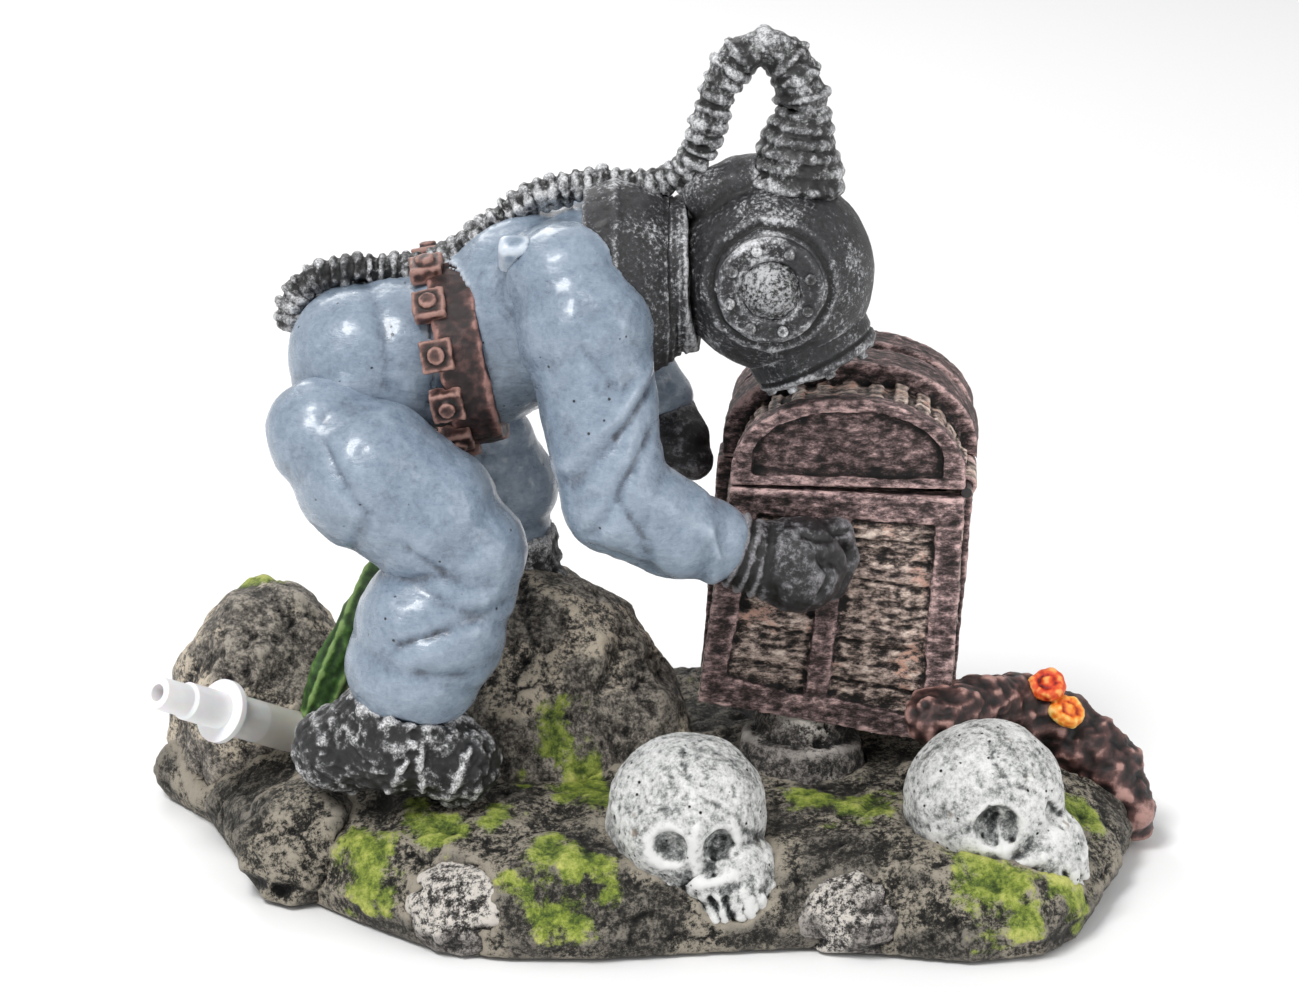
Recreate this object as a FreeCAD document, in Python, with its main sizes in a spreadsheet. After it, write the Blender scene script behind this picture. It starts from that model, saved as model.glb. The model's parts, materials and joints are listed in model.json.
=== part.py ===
import FreeCAD, Part
import math
import os

import Sketcher

# Bubbling aquarium ornament: a helmet diver bends over a treasure chest on a
# rocky base. Millimetres, +Z up. +X runs along the base from the diver to the
# chest, +Y points to the back. The origin is on the resting plane, under the
# middle of the base. Everything is cast resin and fixed, apart from the chest
# lid, which turns on a steel pin, and the air tube with its connector.

Vector = FreeCAD.Vector
UP = Vector(0, 0, 1)

doc = FreeCAD.newDocument("bubbling_ornament")
sheet = doc.addObject("Spreadsheet::Sheet", "Sizes")
sizes = {}


def store(name, value):
    """Put one driving dimension in the sheet under its own alias."""
    cell = "B%d" % (len(sizes) + 1)
    sheet.set("A%d" % (len(sizes) + 1), name)
    sheet.set(cell, str(value))
    sheet.setAlias(cell, name)
    sizes[name] = float(value)


# ---------------------------------------------------------------- dimensions

DIMENSIONS = {
    # helmet and its windows
    "helmet_radius": 14.6,
    "side_window_radius": 7.7,
    "side_glass_radius": 4.3,
    "side_frame_height": 2.6,
    "front_window_radius": 9.4,
    "front_glass_radius": 6.4,
    "front_frame_height": 5.0,
    "side_window_depth": 12.6,
    "front_window_depth": 10.3,
    "frame_chamfer": 0.5,
    "bolt_radius": 0.75,
    "bolt_height": 1.0,
    "bolt_round": 0.3,
    "bolt_count": 8,
    # rings between the helmet and the hose
    "crown_sunk": 1.4,
    "crown_slope_below": 0.7,
    "crown_slope_above": 0.9,
    "crown_overlap": 0.15,
    # corselet
    "corselet_rim_radius": 15.2,
    "corselet_neck_radius": 10.4,
    "corselet_length": 14.8,
    "neck_ring_radius": 11.4,
    "neck_ring_width": 2.6,
    # hose on the diver's back
    "rib_pitch": 0.78,
    "rib_proud": 0.5,
    "rib_width": 0.7,
    # belt
    "belt_radius_up": 14.3,
    "belt_radius_across": 15.8,
    "belt_width": 6.6,
    "belt_thickness": 2.6,
    "belt_weight_size": 4.6,
    "belt_weight_proud": 1.3,
    "belt_weight_count": 12,
    "belt_weight_sunk": 1.0,
    "belt_boss_radius": 1.242,
    "belt_boss_height": 0.8,
    # harness tabs on the shoulder
    "tab_length": 4.4,
    "tab_width": 3.2,
    "tab_height": 5.0,
    "tab_round": 0.8,
    "tab_count": 3,
    "tab_tilt": 35,
    # chest
    "chest_x": 26.5,
    "chest_y": -8.0,
    "chest_yaw": -4.0,
    "chest_depth": 38.0,
    "chest_wall": 2.6,
    "chest_floor": 3.0,
    "frame_width": 4.2,
    "panel_recess": 1.3,
    "post_share": 0.46,
    "post_half_width": 1.764,
    "plank_count": 9,
    "plank_proud": 0.35,
    "plank_uneven": 0.25,
    "hollow_setback": 1.0,
    "bottom_left_x": -19.2,
    "bottom_left_z": 25.3,
    "bottom_right_x": 18.8,
    "bottom_right_z": 19.2,
    "rim_left_x": -14.6,
    "rim_left_z": 59.6,
    "rim_right_x": 20.4,
    "rim_right_z": 58.6,
    "strap_width": 9.0,
    "strap_from_front": 14.0,
    # lid
    "lid_gap": 0.85,
    "lid_rail": 2.4,
    "lid_rise": 11.2,
    "lid_wall": 2.4,
    "hoop_proud": 1.9,
    "lid_frame": 3.6,
    "lid_board_inset": 1.2,
    "lid_panel_margin": 3.4,
    "lid_panel_foot": 1.6,
    "lid_board_count": 13,
    "lid_board_width": 1.8,
    "lid_board_thickness": 1.3,
    "lid_board_uneven": 0.3,
    "rear_hoop_width": 7.0,
    # hinge
    "pin_radius": 0.8,
    "pin_bore_radius": 0.86,
    "knuckle_radius": 1.6,
    "knuckle_length": 5.0,
    "knuckle_gap": 0.4,
    "hinge_out": 0.2,
    "hinge_up": 0.6,
    "knuckle_from_end": 8.0,
    "outer_knuckle_length": 3.0,
    "web_width": 2.2,
    "body_web_height": 3.4,
    "lid_web_height": 3.6,
    # air line
    "tube_outer_radius": 3.25,
    "tube_bore_radius": 2.0,
    "nipple_radius": 2.5,
    "nipple_root_radius": 2.9,
    "nipple_length": 13.0,
    "flange_radius": 4.9,
    "flange_width": 1.0,
    "stub_radius": 2.0,
    "stub_length": 8.0,
    "connector_bore_radius": 1.3,
    "stub_clearance": 0.02,
    "nipple_tip_length": 5.4,
    "nipple_taper_length": 0.6,
    # stump under the chest
    "stump_foot_radius": 10.5,
    "stump_foot_top_radius": 8.6,
    "stump_foot_height": 7.2,
    "stump_cap_radius": 7.6,
    "stump_cap_top_radius": 6.4,
    "stump_cap_height": 8.0,
}

for size_name, size_value in DIMENSIONS.items():
    store(size_name, size_value)

# Centre lines of the modelled figure: each entry is x, y, z and radius of one
# ball, and neighbouring balls in a chain are joined by a cone.
CHAINS = {
    "torso": [
        (-33.0, 0, 78.6, 12.4),
        (-25.0, 0, 81.0, 13.4),
        (-17.0, 0, 85.4, 14.4),
        (-9.0, 0, 89.0, 12.0),
    ],
    "shoulders": [
        (-13.0, -8.0, 90.5, 9.5),
        (-13.0, 8.0, 90.5, 9.5),
    ],
    "hips": [
        (-43.2, -4.5, 79.2, 10.2),
        (-43.2, 4.5, 79.2, 10.2),
        (-36.5, 2.0, 78.8, 11.8),
        (-36.5, -2.0, 78.8, 11.8),
    ],
    "near_leg": [
        (-47.6, -14.0, 70.2, 8.4),
        (-40.8, -17.0, 64.8, 11.0),
        (-32.4, -18.0, 59.0, 10.3),
        (-26.8, -18.5, 53.4, 8.7),
        (-28.4, -18.8, 48.4, 8.9),
        (-32.2, -19.4, 41.8, 11.0),
        (-34.6, -20.0, 36.2, 10.0),
        (-36.0, -20.0, 32.4, 7.8),
    ],
    "far_leg": [
        (-42.0, 9.5, 71.0, 9.6),
        (-33.4, 11.0, 66.0, 9.4),
        (-26.4, 13.0, 59.4, 8.8),
        (-21.4, 14.0, 53.0, 7.6),
        (-20.4, 14.0, 47.4, 5.4),
    ],
    "near_boot": [
        (-46.0, -19.0, 22.6, 6.6),
        (-37.0, -20.0, 26.0, 9.4),
        (-28.6, -22.0, 21.4, 6.2),
    ],
    "far_boot": [
        (-19.6, 14.0, 44.6, 5.0),
        (-19.4, 14.0, 38.6, 5.4),
        (-14.8, 13.0, 33.4, 4.8),
    ],
    "near_arm": [
        (-12.0, -12.5, 92.6, 8.6),
        (-9.4, -16.0, 86.2, 10.0),
        (-7.4, -19.0, 76.6, 8.7),
        (-6.2, -21.0, 68.8, 8.0),
        (-4.6, -22.0, 62.6, 8.1),
        (3.0, -20.4, 57.8, 7.4),
        (9.0, -18.0, 55.2, 5.8),
    ],
    "far_arm": [
        (-11.0, 12.5, 91.6, 8.6),
        (-8.4, 16.5, 83.0, 8.2),
        (-4.4, 19.0, 73.0, 7.0),
        (2.0, 17.0, 66.4, 4.6),
    ],
    "near_glove": [
        (10.6, -17.2, 54.0, 5.2),
        (15.6, -16.4, 51.8, 5.5),
        (21.8, -15.2, 50.4, 7.1),
    ],
    "near_fingers": [
        (23.6, -14.6, 53.0, 4.0),
        (27.8, -12.6, 54.2, 2.4),
        (29.0, -11.6, 50.2, 2.2),
        (27.0, -11.4, 46.0, 2.4),
    ],
    "far_glove": [
        (2.8, 16.8, 64.0, 4.5),
        (4.6, 13.4, 60.6, 4.8),
        (6.6, 11.0, 58.2, 3.2),
    ],
    "driftwood": [
        (42.6, -13.0, 25.4, 4.4),
        (50.2, -5.0, 23.4, 4.4),
        (56.6, 2.0, 21.0, 5.0),
        (64.0, 4.0, 17.4, 5.2),
        (70.8, 2.0, 12.2, 5.2),
        (73.6, 0.0, 5.0, 4.4),
    ],
    "frond": [
        (-53.0, 3.0, 16.0, 2.6),
        (-49.3, 5.0, 25.6, 3.0),
        (-45.8, 6.0, 32.3, 3.0),
        (-42.7, 7.0, 38.5, 2.6),
        (-39.4, 8.6, 45.0, 2.2),
    ],
    "saddle": [
        (9.0, -4.0, 103.4, 4.2),
        (13.0, -4.0, 105.0, 4.3),
        (17.0, -4.0, 106.0, 4.0),
    ],
    "hose": [
        (-53.4, 0, 83.6, 1.75),
        (-52.4, 0, 87.8, 1.75),
        (-49.4, 0, 90.4, 1.75),
        (-45.0, 0, 91.2, 1.8),
        (-38.4, 0, 91.2, 1.9),
        (-32.2, 0, 92.2, 2.1),
        (-26.5, 0, 95.0, 2.0),
        (-22.0, 0, 99.0, 1.9),
        (-16.9, 0, 102.3, 1.9),
        (-11.6, 0, 103.8, 1.9),
        (-5.8, -0.6, 104.5, 1.9),
        (0.6, -1.6, 104.6, 1.9),
        (4.8, -2.6, 106.4, 2.0),
        (7.2, -3.4, 110.2, 2.1),
        (8.4, -4.0, 114.0, 2.2),
        (9.6, -4.0, 117.8, 2.3),
        (11.0, -4.0, 121.4, 2.5),
        (13.2, -4.0, 124.4, 2.7),
        (16.4, -4.0, 125.6, 2.8),
        (19.4, -4.0, 124.2, 3.0),
        (21.2, -4.0, 121.2, 3.3),
        (22.0, -4.0, 118.0, 3.6),
    ],
}

# Plain positions: x, y, z.
PLACES = {
    "helmet": (18.6, -4.0, 92.0),
    "near_window_axis": (-0.085, -0.99, 0.07),
    "far_window_axis": (-0.085, 0.99, 0.07),
    "front_window_axis": (0.42, -0.08, -0.90),
    "crown_foot": (21.2, -4.0, 105.8),
    "crown_axis": (0.10, 0.0, 1.0),
    "corselet_rim": (-8.0, -1.4, 90.0),
    "corselet_axis": (0.99, -0.08, 0.09),
    "belt": (-30.2, 0.0, 78.7),
    "belt_axis": (0.983, 0.0, 0.182),
    "connector_axis": (-0.63, -0.62, 0.46),
    "connector_flange": (-64.6, -6.4, 23.6),
    "stump_foot": (23.0, -2.0, 11.0),
    "stump_foot_axis": (0.05, 0.0, 1.0),
    "stump_cap": (23.6, 0.0, 17.0),
    "stump_cap_axis": (0.08, 0.0, 1.0),
    "first_tab": (-19.4, -13.6, 97.2),
    "tab_step": (5.0, -1.0, -0.5),
}

for chain_name, balls in CHAINS.items():
    for ball_index, ball in enumerate(balls):
        for part_name, part_value in zip(("x", "y", "z", "radius"), ball):
            store("%s_%d_%s" % (chain_name, ball_index, part_name), part_value)

for place_name, place in PLACES.items():
    for part_name, part_value in zip(("x", "y", "z"), place):
        store("%s_%s" % (place_name, part_name), part_value)

doc.recompute()


def size(name):
    return sizes[name]


def point(name):
    return Vector(size(name + "_x"), size(name + "_y"), size(name + "_z"))


def ball_at(chain, index):
    return point("%s_%d" % (chain, index))


def ball_radius(chain, index):
    return size("%s_%d_radius" % (chain, index))


# ------------------------------------------------------------ small builders


def turned(direction):
    """Rotation that takes +Z to the given direction."""
    return FreeCAD.Rotation(UP, direction)


def bound(kind, name, **expressions):
    """A Part primitive whose sizes follow cells of the sheet."""
    made = doc.addObject(kind, name)
    for prop, cell in expressions.items():
        made.setExpression(prop, cell)
    return made


def place(made, where, direction=UP):
    made.Placement = FreeCAD.Placement(where, turned(direction))
    return made


def feature(name, shape):
    """A free-form shape that no primitive fits."""
    made = doc.addObject("Part::Feature", name)
    made.Shape = shape
    return made


def fuse(name, members):
    made = doc.addObject("Part::MultiFuse", name)
    made.Shapes = members
    return made


def cut(name, base, tools):
    """Cut the tools out of the base, one after another."""
    for index, tool in enumerate(tools):
        made = doc.addObject("Part::Cut", "%s_less_%d" % (name, index))
        made.Base = base
        made.Tool = tool
        base = made
    return base


def ball_chain(name):
    """Balls joined by cones along one of the centre lines.

    Each ball's poles lie along the line, so that it meets its cones squarely.
    """
    count = len(CHAINS[name])
    members = []
    for index in range(count):
        cell = "Sizes.%s_%d" % (name, index)
        ball = bound("Part::Sphere", "%s_ball_%d" % (name, index), Radius=cell + "_radius")
        start = min(index, count - 2)
        place(ball, ball_at(name, index), ball_at(name, start + 1) - ball_at(name, start))
        for axis in "xyz":
            ball.setExpression("Placement.Base." + axis, cell + "_" + axis)
        members.append(ball)
    for index in range(count - 1):
        start = "Sizes.%s_%d" % (name, index)
        end = "Sizes.%s_%d" % (name, index + 1)
        gaps = ["(%s_%s - %s_%s)^2" % (end, axis, start, axis) for axis in "xyz"]
        cone = bound(
            "Part::Cone",
            "%s_cone_%d" % (name, index),
            Radius1=start + "_radius * 0.975",
            Radius2=end + "_radius * 0.97",
            Height="sqrt(%s)" % " + ".join(gaps),
        )
        along = ball_at(name, index + 1) - ball_at(name, index)
        place(cone, ball_at(name, index), along)
        members.append(cone)
    return fuse(name + "_raw", members)


def faceted(rings, bottom, top):
    """Closed solid of flat triangles through rings of equal point count."""
    faces = []

    def triangle(a, b, c):
        faces.append(Part.Face(Part.makePolygon([a, b, c, a])))

    count = len(rings[0])
    for index in range(count):
        after = (index + 1) % count
        triangle(bottom, rings[0][after], rings[0][index])
        triangle(top, rings[-1][index], rings[-1][after])
        for lower, upper in zip(rings[:-1], rings[1:]):
            triangle(lower[index], lower[after], upper[after])
            triangle(lower[index], upper[after], upper[index])
    solid = Part.Solid(Part.Shell(faces))
    if solid.Volume < 0:
        solid.reverse()
    return solid


ROCK_LEVELS = (-62, -34, -8, 18, 44, 68)
ROCK_SIDES = 11
ROCK_SWELL = 0.07
ROCK_DENT = 0.056


def rock(name, centre, radii, phase, peak=(0, 0)):
    """A boulder: an ellipsoid of facets, uneven, its peak moved sideways."""
    rings = []
    for level in ROCK_LEVELS:
        ring = []
        tilt = math.radians(level)
        for index in range(ROCK_SIDES):
            turn = 2 * math.pi * (index + 0.5 * (level // 26 % 2)) / ROCK_SIDES
            swell = 1 + ROCK_SWELL * math.sin(3 * turn + phase + tilt * 2)
            swell += ROCK_DENT * math.sin(5 * turn - 2 * phase + tilt * 5)
            reach = math.cos(tilt) * swell
            lean = 0.5 + 0.5 * math.sin(tilt)
            ring.append(
                Vector(
                    centre[0] + radii[0] * reach * math.cos(turn) + peak[0] * lean,
                    centre[1] + radii[1] * reach * math.sin(turn) + peak[1] * lean,
                    centre[2] + radii[2] * math.sin(tilt) * (1 + 0.3 * (swell - 1)),
                )
            )
        rings.append(ring)
    bottom = Vector(centre[0], centre[1], centre[2] - radii[2])
    top = Vector(centre[0] + peak[0], centre[1] + peak[1], centre[2] + radii[2])
    return feature(name, faceted(rings, bottom, top))


def box(name, length, width, height, where):
    made = doc.addObject("Part::Box", name)
    made.Length = length
    made.Width = width
    made.Height = height
    made.Placement.Base = Vector(*where)
    return made


# ------------------------------------------------------------------ the base

BASE_OUTLINE = [
    (-64, -9), (-60.5, -18), (-52, -24), (-42.5, -33), (-33, -41), (-23, -45),
    (-8, -45.5), (10, -43), (23, -41.5), (35, -44), (47, -46.5), (58, -44),
    (63.5, -38), (68.5, -22), (75.5, -3), (78, 9), (71, 26), (50, 38),
    (22, 45), (-8, 46.9), (-36, 45), (-60, 41), (-74, 32), (-78.6, 18), (-70, 7),
]
BASE_LEVELS = [(0, 0.985), (4, 1.0), (8.5, 0.955), (12.2, 0.87), (14.4, 0.70)]


def base_rings():
    rings = []
    for level, spread in BASE_LEVELS:
        ring = []
        for index, (across, deep) in enumerate(BASE_OUTLINE):
            wave = 1 + 0.012 * math.sin(2.7 * index + level) * (level > 0)
            ring.append(Vector(across * spread * wave, deep * spread * wave, level))
        rings.append(ring)
    return rings


base_raw = feature("base_raw", faceted(base_rings(), Vector(0, 0, 0), Vector(0, 0, 15.4)))
ground_cut = box("ground_cut", 220, 160, 40, (-110, -80, -40))

rear_boulder_raw = rock("rear_boulder_raw", (-61.5, 21, 12), (15.6, 17, 22.6), 0.4, (1.0, 0))
centre_boulder_raw = rock("centre_boulder_raw", (-12, 3, 17), (21.5, 19, 24.0), 1.7, (-7, 7))
front_left_rock_raw = rock("front_left_rock_raw", (-52.4, -17, 6.0), (10.4, 11.5, 9.6), 2.2, (1, 2))
pale_stone_raw = rock("pale_stone_raw", (-26.4, -36.4, 4.0), (8.8, 8.4, 7.8), 3.1)
right_stone_raw = rock("right_stone_raw", (30.4, -36.6, 4.0), (9.6, 8.4, 7.2), 4.4)
back_rock_raw = rock("back_rock_raw", (8, 33, 6.5), (24, 9.5, 8.4), 5.3)

# Worn stump that the chest stands on: two stepped rings.
stump_rings = []
for stump_part in ("stump_foot", "stump_cap"):
    stump_ring = bound(
        "Part::Cone",
        stump_part,
        Radius1="Sizes.%s_radius" % stump_part,
        Radius2="Sizes.%s_top_radius" % stump_part,
        Height="Sizes.%s_height" % stump_part,
    )
    place(stump_ring, point(stump_part), point(stump_part + "_axis"))
    stump_rings.append(stump_ring)
stump_raw = fuse("stump_raw", stump_rings)

# Half widths of a skull's dome and face, as shares of its radius.
DOME_SHARES = (0.96, 1.05, 0.98)
FACE_SHARES = (0.62, 0.72, 0.66)


def ellipsoid(name, radius, shares, where, facing):
    made = doc.addObject("Part::Ellipsoid", name)
    made.Radius1, made.Radius2, made.Radius3 = [radius * share for share in shares]
    return place(made, where, facing)


def skull(name, centre, radius, facing, sockets, jaw):
    """A skull: a domed cranium, a jaw block, temple and eye hollows, a nose."""
    dome = ellipsoid(name + "_dome", radius, DOME_SHARES, centre, facing)
    face_block = ellipsoid(name + "_face", radius, FACE_SHARES, jaw, facing)
    solid = fuse(name + "_solid", [dome, face_block])
    tools = []
    for index, (socket_centre, socket_radius) in enumerate(sockets):
        hollow = doc.addObject("Part::Sphere", "%s_socket_%d" % (name, index))
        hollow.Radius = socket_radius
        hollow.Placement.Base = Vector(*socket_centre)
        tools.append(hollow)
    return cut(name, solid, tools)


skull_left_raw = skull(
    "skull_left",
    Vector(5.4, -30.0, 16.6),
    12.2,
    Vector(0.75, -0.5, -0.55),
    [((2.6, -42.6, 16.2), 3.2), ((10.6, -41.6, 16.4), 2.7), ((15.2, -40.0, 10.4), 1.7)],
    Vector(11.4, -34.6, 7.8),
)
skull_right_raw = skull(
    "skull_right",
    Vector(49.4, -25.0, 16.6),
    12.4,
    Vector(0.8, -0.4, -0.45),
    [((50.6, -37.4, 17.4), 3.6), ((59.8, -33.4, 18.0), 2.6), ((62.6, -32.0, 11.0), 1.6)],
    Vector(56.8, -28.4, 9.0),
)

driftwood_raw = ball_chain("driftwood")
frond_raw = ball_chain("frond")


# Ring, ring thickness and button of a polyp, as shares of its radius.
PETAL_RING, PETAL_THICKNESS, BUTTON = 0.68, 0.36, 0.5


def anemone(name, centre, radius, facing):
    """A small flower-like polyp: a ring of petals round a button."""
    disc = doc.addObject("Part::Torus", name + "_ring")
    disc.Radius1 = radius * PETAL_RING
    disc.Radius2 = radius * PETAL_THICKNESS
    place(disc, centre, facing)
    button = doc.addObject("Part::Sphere", name + "_button")
    button.Radius = radius * BUTTON
    button.Placement.Base = centre
    return fuse(name + "_raw", [disc, button])


anemone_raws = [
    anemone("anemone_red", Vector(61.0, 0.2, 25.4), 2.9, Vector(-0.1, -0.5, 0.85)),
    anemone("anemone_orange", Vector(64.0, -1.6, 21.8), 2.7, Vector(0.3, -0.6, 0.75)),
]

# ----------------------------------------------------------------- the diver

torso_core = ball_chain("torso")
shoulders = ball_chain("shoulders")
torso_raw = fuse("diver_torso_raw", [torso_core, shoulders])
hips_raw = ball_chain("hips")
near_leg_raw = ball_chain("near_leg")
far_leg_raw = ball_chain("far_leg")
near_boot_raw = ball_chain("near_boot")
far_boot_raw = ball_chain("far_boot")
near_arm_raw = ball_chain("near_arm")
far_arm_raw = ball_chain("far_arm")
near_glove_palm = ball_chain("near_glove")
near_glove_fingers = ball_chain("near_fingers")
near_glove_raw = fuse("near_glove_all_raw", [near_glove_palm, near_glove_fingers])
far_glove_raw = ball_chain("far_glove")


def oval_drum(name, radius_up, radius_across, width):
    """A drum with an oval section, lying on the belt's axis."""
    oval = Part.Ellipse(Vector(0, 0, 0), radius_across, radius_up).toShape()
    face = Part.Face(Part.Wire([oval]))
    shape = face.extrude(Vector(0, 0, width))
    shape.translate(Vector(0, 0, -width / 2))
    made = feature(name, shape)
    axis = point("belt_axis")
    across = Vector(0, 1, 0)
    made.Placement = FreeCAD.Placement(
        point("belt"), FreeCAD.Rotation(across, axis.cross(across), axis, "ZXY")
    )
    return made


belt_outer = oval_drum(
    "belt_outer", size("belt_radius_up"), size("belt_radius_across"), size("belt_width")
)
belt_inner = oval_drum(
    "belt_inner",
    size("belt_radius_up") - size("belt_thickness"),
    size("belt_radius_across") - size("belt_thickness"),
    size("belt_width") + 2,
)
belt_ring = cut("belt_ring", belt_outer, [belt_inner])


def belt_weight_shapes():
    """Square lead weights with a round boss, spread round the belt."""
    turn_to_belt = FreeCAD.Placement(belt_outer.Placement)
    side = size("belt_weight_size")
    solids = []
    count = int(size("belt_weight_count"))
    for index in range(count):
        angle = 2 * math.pi * (index + 0.5) / count
        across = size("belt_radius_across") * math.cos(angle)
        up = size("belt_radius_up") * math.sin(angle)
        out = Vector(math.cos(angle) / size("belt_radius_across"),
                     math.sin(angle) / size("belt_radius_up"), 0)
        out.normalize()
        sunk = size("belt_weight_sunk")
        proud = size("belt_weight_proud")
        block = Part.makeBox(side, side, proud + sunk)
        block.translate(Vector(-side / 2, -side / 2, -sunk))
        boss = Part.makeCylinder(size("belt_boss_radius"), size("belt_boss_height"), Vector(0, 0, proud))
        weight = block.fuse(boss)
        weight.Placement = FreeCAD.Placement(
            Vector(across, up, 0), FreeCAD.Rotation(UP.cross(out), UP, out, "ZYX")
        )
        weight.transformShape(turn_to_belt.toMatrix(), True)
        solids.append(weight)
    return solids


belt_weight_solids = belt_weight_shapes()
belt_weights_raw = feature("belt_weights_raw", Part.makeCompound(belt_weight_solids))

# Strap tabs of the harness on the near shoulder.
buckle_shapes = []
tab_sides = Vector(size("tab_length"), size("tab_width"), size("tab_height"))
for tab_index in range(int(size("tab_count"))):
    tab = Part.makeBox(tab_sides.x, tab_sides.y, tab_sides.z)
    tab.translate(tab_sides * -0.5)
    tab = tab.makeFillet(size("tab_round"), tab.Edges)
    tab.Placement = FreeCAD.Placement(
        point("first_tab") + point("tab_step") * tab_index,
        FreeCAD.Rotation(Vector(1, 0, 0), size("tab_tilt")),
    )
    buckle_shapes.append(tab)
buckles_raw = feature("shoulder_buckles_raw", Part.makeCompound(buckle_shapes))

# ------------------------------------------------------- corselet and helmet


def corselet_profile():
    """Half section of the breastplate, along its axis from rim to neck."""
    rim = size("corselet_rim_radius")
    neck = size("corselet_neck_radius")
    length = size("corselet_length")
    ring = size("neck_ring_radius")
    width = size("neck_ring_width")
    outline = Part.BSplineCurve()
    outline.interpolate(
        [
            Vector(rim * 0.96, 0, 0),
            Vector(rim, 0, length * 0.25),
            Vector(rim * 0.93, 0, length * 0.55),
            Vector(neck + 0.6, 0, length - width),
        ]
    )
    corners = [
        Vector(neck + 0.6, 0, length - width),
        Vector(ring, 0, length - width * 0.8),
        Vector(ring, 0, length - width * 0.1),
        Vector(neck, 0, length),
        Vector(0, 0, length),
        Vector(0, 0, 0),
        Vector(rim * 0.96, 0, 0),
    ]
    wire = Part.Wire([outline.toShape()] + Part.makePolygon(corners).Edges)
    return Part.Face(wire)


corselet_shape = corselet_profile().revolve(Vector(0, 0, 0), UP, 360)
corselet_raw = feature("corselet_raw", corselet_shape)
place(corselet_raw, point("corselet_rim"), point("corselet_axis"))

helmet_raw = bound("Part::Sphere", "helmet_raw", Radius="Sizes.helmet_radius")
for axis_name in "xyz":
    helmet_raw.setExpression("Placement.Base." + axis_name, "Sizes.helmet_" + axis_name)


def ring_body(name, outer_cell, inner_cell, height_cell):
    """A window frame: a padded ring, chamfered round its outer front edge."""
    body = doc.addObject("PartDesign::Body", name)
    sketch = body.newObject("Sketcher::SketchObject", name + "_sketch")
    plane = [item for item in body.Origin.OriginFeatures if item.Role == "XY_Plane"][0]
    sketch.AttachmentSupport = [(plane, "")]
    sketch.MapMode = "FlatFace"
    import_circles(sketch, outer_cell, inner_cell)
    pad = body.newObject("PartDesign::Pad", name + "_pad")
    pad.Profile = sketch
    pad.setExpression("Length", "Sizes." + height_cell)
    doc.recompute()
    edges = []
    for index, edge in enumerate(pad.Shape.Edges):
        on_top = abs(edge.BoundBox.ZMin - size(height_cell)) < 1e-6
        if on_top and edge.BoundBox.ZLength < 1e-6:
            edges.append("Edge%d" % (index + 1))
    chamfer = body.newObject("PartDesign::Chamfer", name + "_chamfer")
    chamfer.Base = (pad, edges)
    chamfer.setExpression("Size", "Sizes.frame_chamfer")
    body.Tip = chamfer
    doc.recompute()
    return body


def import_circles(sketch, outer_cell, inner_cell):
    """Two concentric circles about the sketch origin, bound to the sheet."""
    for cell in (outer_cell, inner_cell):
        circle = Part.Circle(Vector(0, 0, 0), UP, size(cell))
        index = sketch.addGeometry(circle)
        sketch.addConstraint(Sketcher.Constraint("Coincident", index, 3, -1, 1))
        bond = sketch.addConstraint(Sketcher.Constraint("Radius", index, size(cell)))
        sketch.setExpression("Constraints[%d]" % bond, "Sizes." + cell)


def window(side, axis, outer_cell, inner_cell, height_cell, depth):
    """Frame, domed glass, bolts and seat of one helmet window."""
    direction = Vector(axis)
    direction.normalize()
    foot = point("helmet") + direction * size(depth)
    frame = ring_body(side + "_window_frame", outer_cell, inner_cell, height_cell)
    place(frame, foot, direction)
    glass = doc.addObject("Part::Sphere", side + "_glass_ball")
    glass.setExpression("Radius", "Sizes.%s * 1.25" % inner_cell)
    sag = size(inner_cell) * 0.75
    place(glass, foot + direction * (size(height_cell) * 0.75 - sag), direction)
    well = bound("Part::Cylinder", side + "_well", Radius="Sizes." + inner_cell,
                 Height="Sizes.%s * 2" % height_cell)
    place(well, foot, direction)
    lens = doc.addObject("Part::Common", side + "_window_lens")
    lens.Base = glass
    lens.Tool = well
    bolts = []
    count = int(size("bolt_count"))
    circle = 0.5 * (size(outer_cell) + size(inner_cell)) + 0.1
    turn = turned(direction)
    for index in range(count):
        angle = 2 * math.pi * (index + 0.3) / count
        where = Vector(circle * math.cos(angle), circle * math.sin(angle), size(height_cell))
        bolt = Part.makeCylinder(size("bolt_radius"), size("bolt_height"), where)
        top = max(bolt.Edges, key=lambda edge: edge.CenterOfMass.z)
        bolt = bolt.makeFillet(size("bolt_round"), [top])
        bolt.Placement = FreeCAD.Placement(foot, turn)
        bolts.append(bolt)
    drum = bound("Part::Cylinder", side + "_seat", Radius="Sizes." + outer_cell,
                 Height="Sizes.%s * 2" % height_cell)
    place(drum, foot, direction)
    return frame, lens, bolts, drum


near_frame, near_lens, near_bolts, near_seat = window(
    "near", point("near_window_axis"), "side_window_radius", "side_glass_radius",
    "side_frame_height", "side_window_depth"
)
far_frame, far_lens, far_bolts, far_seat = window(
    "far", point("far_window_axis"), "side_window_radius", "side_glass_radius",
    "side_frame_height", "side_window_depth"
)
front_frame, front_lens, front_bolts, front_seat = window(
    "front", point("front_window_axis"), "front_window_radius", "front_glass_radius",
    "front_frame_height", "front_window_depth"
)

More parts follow.
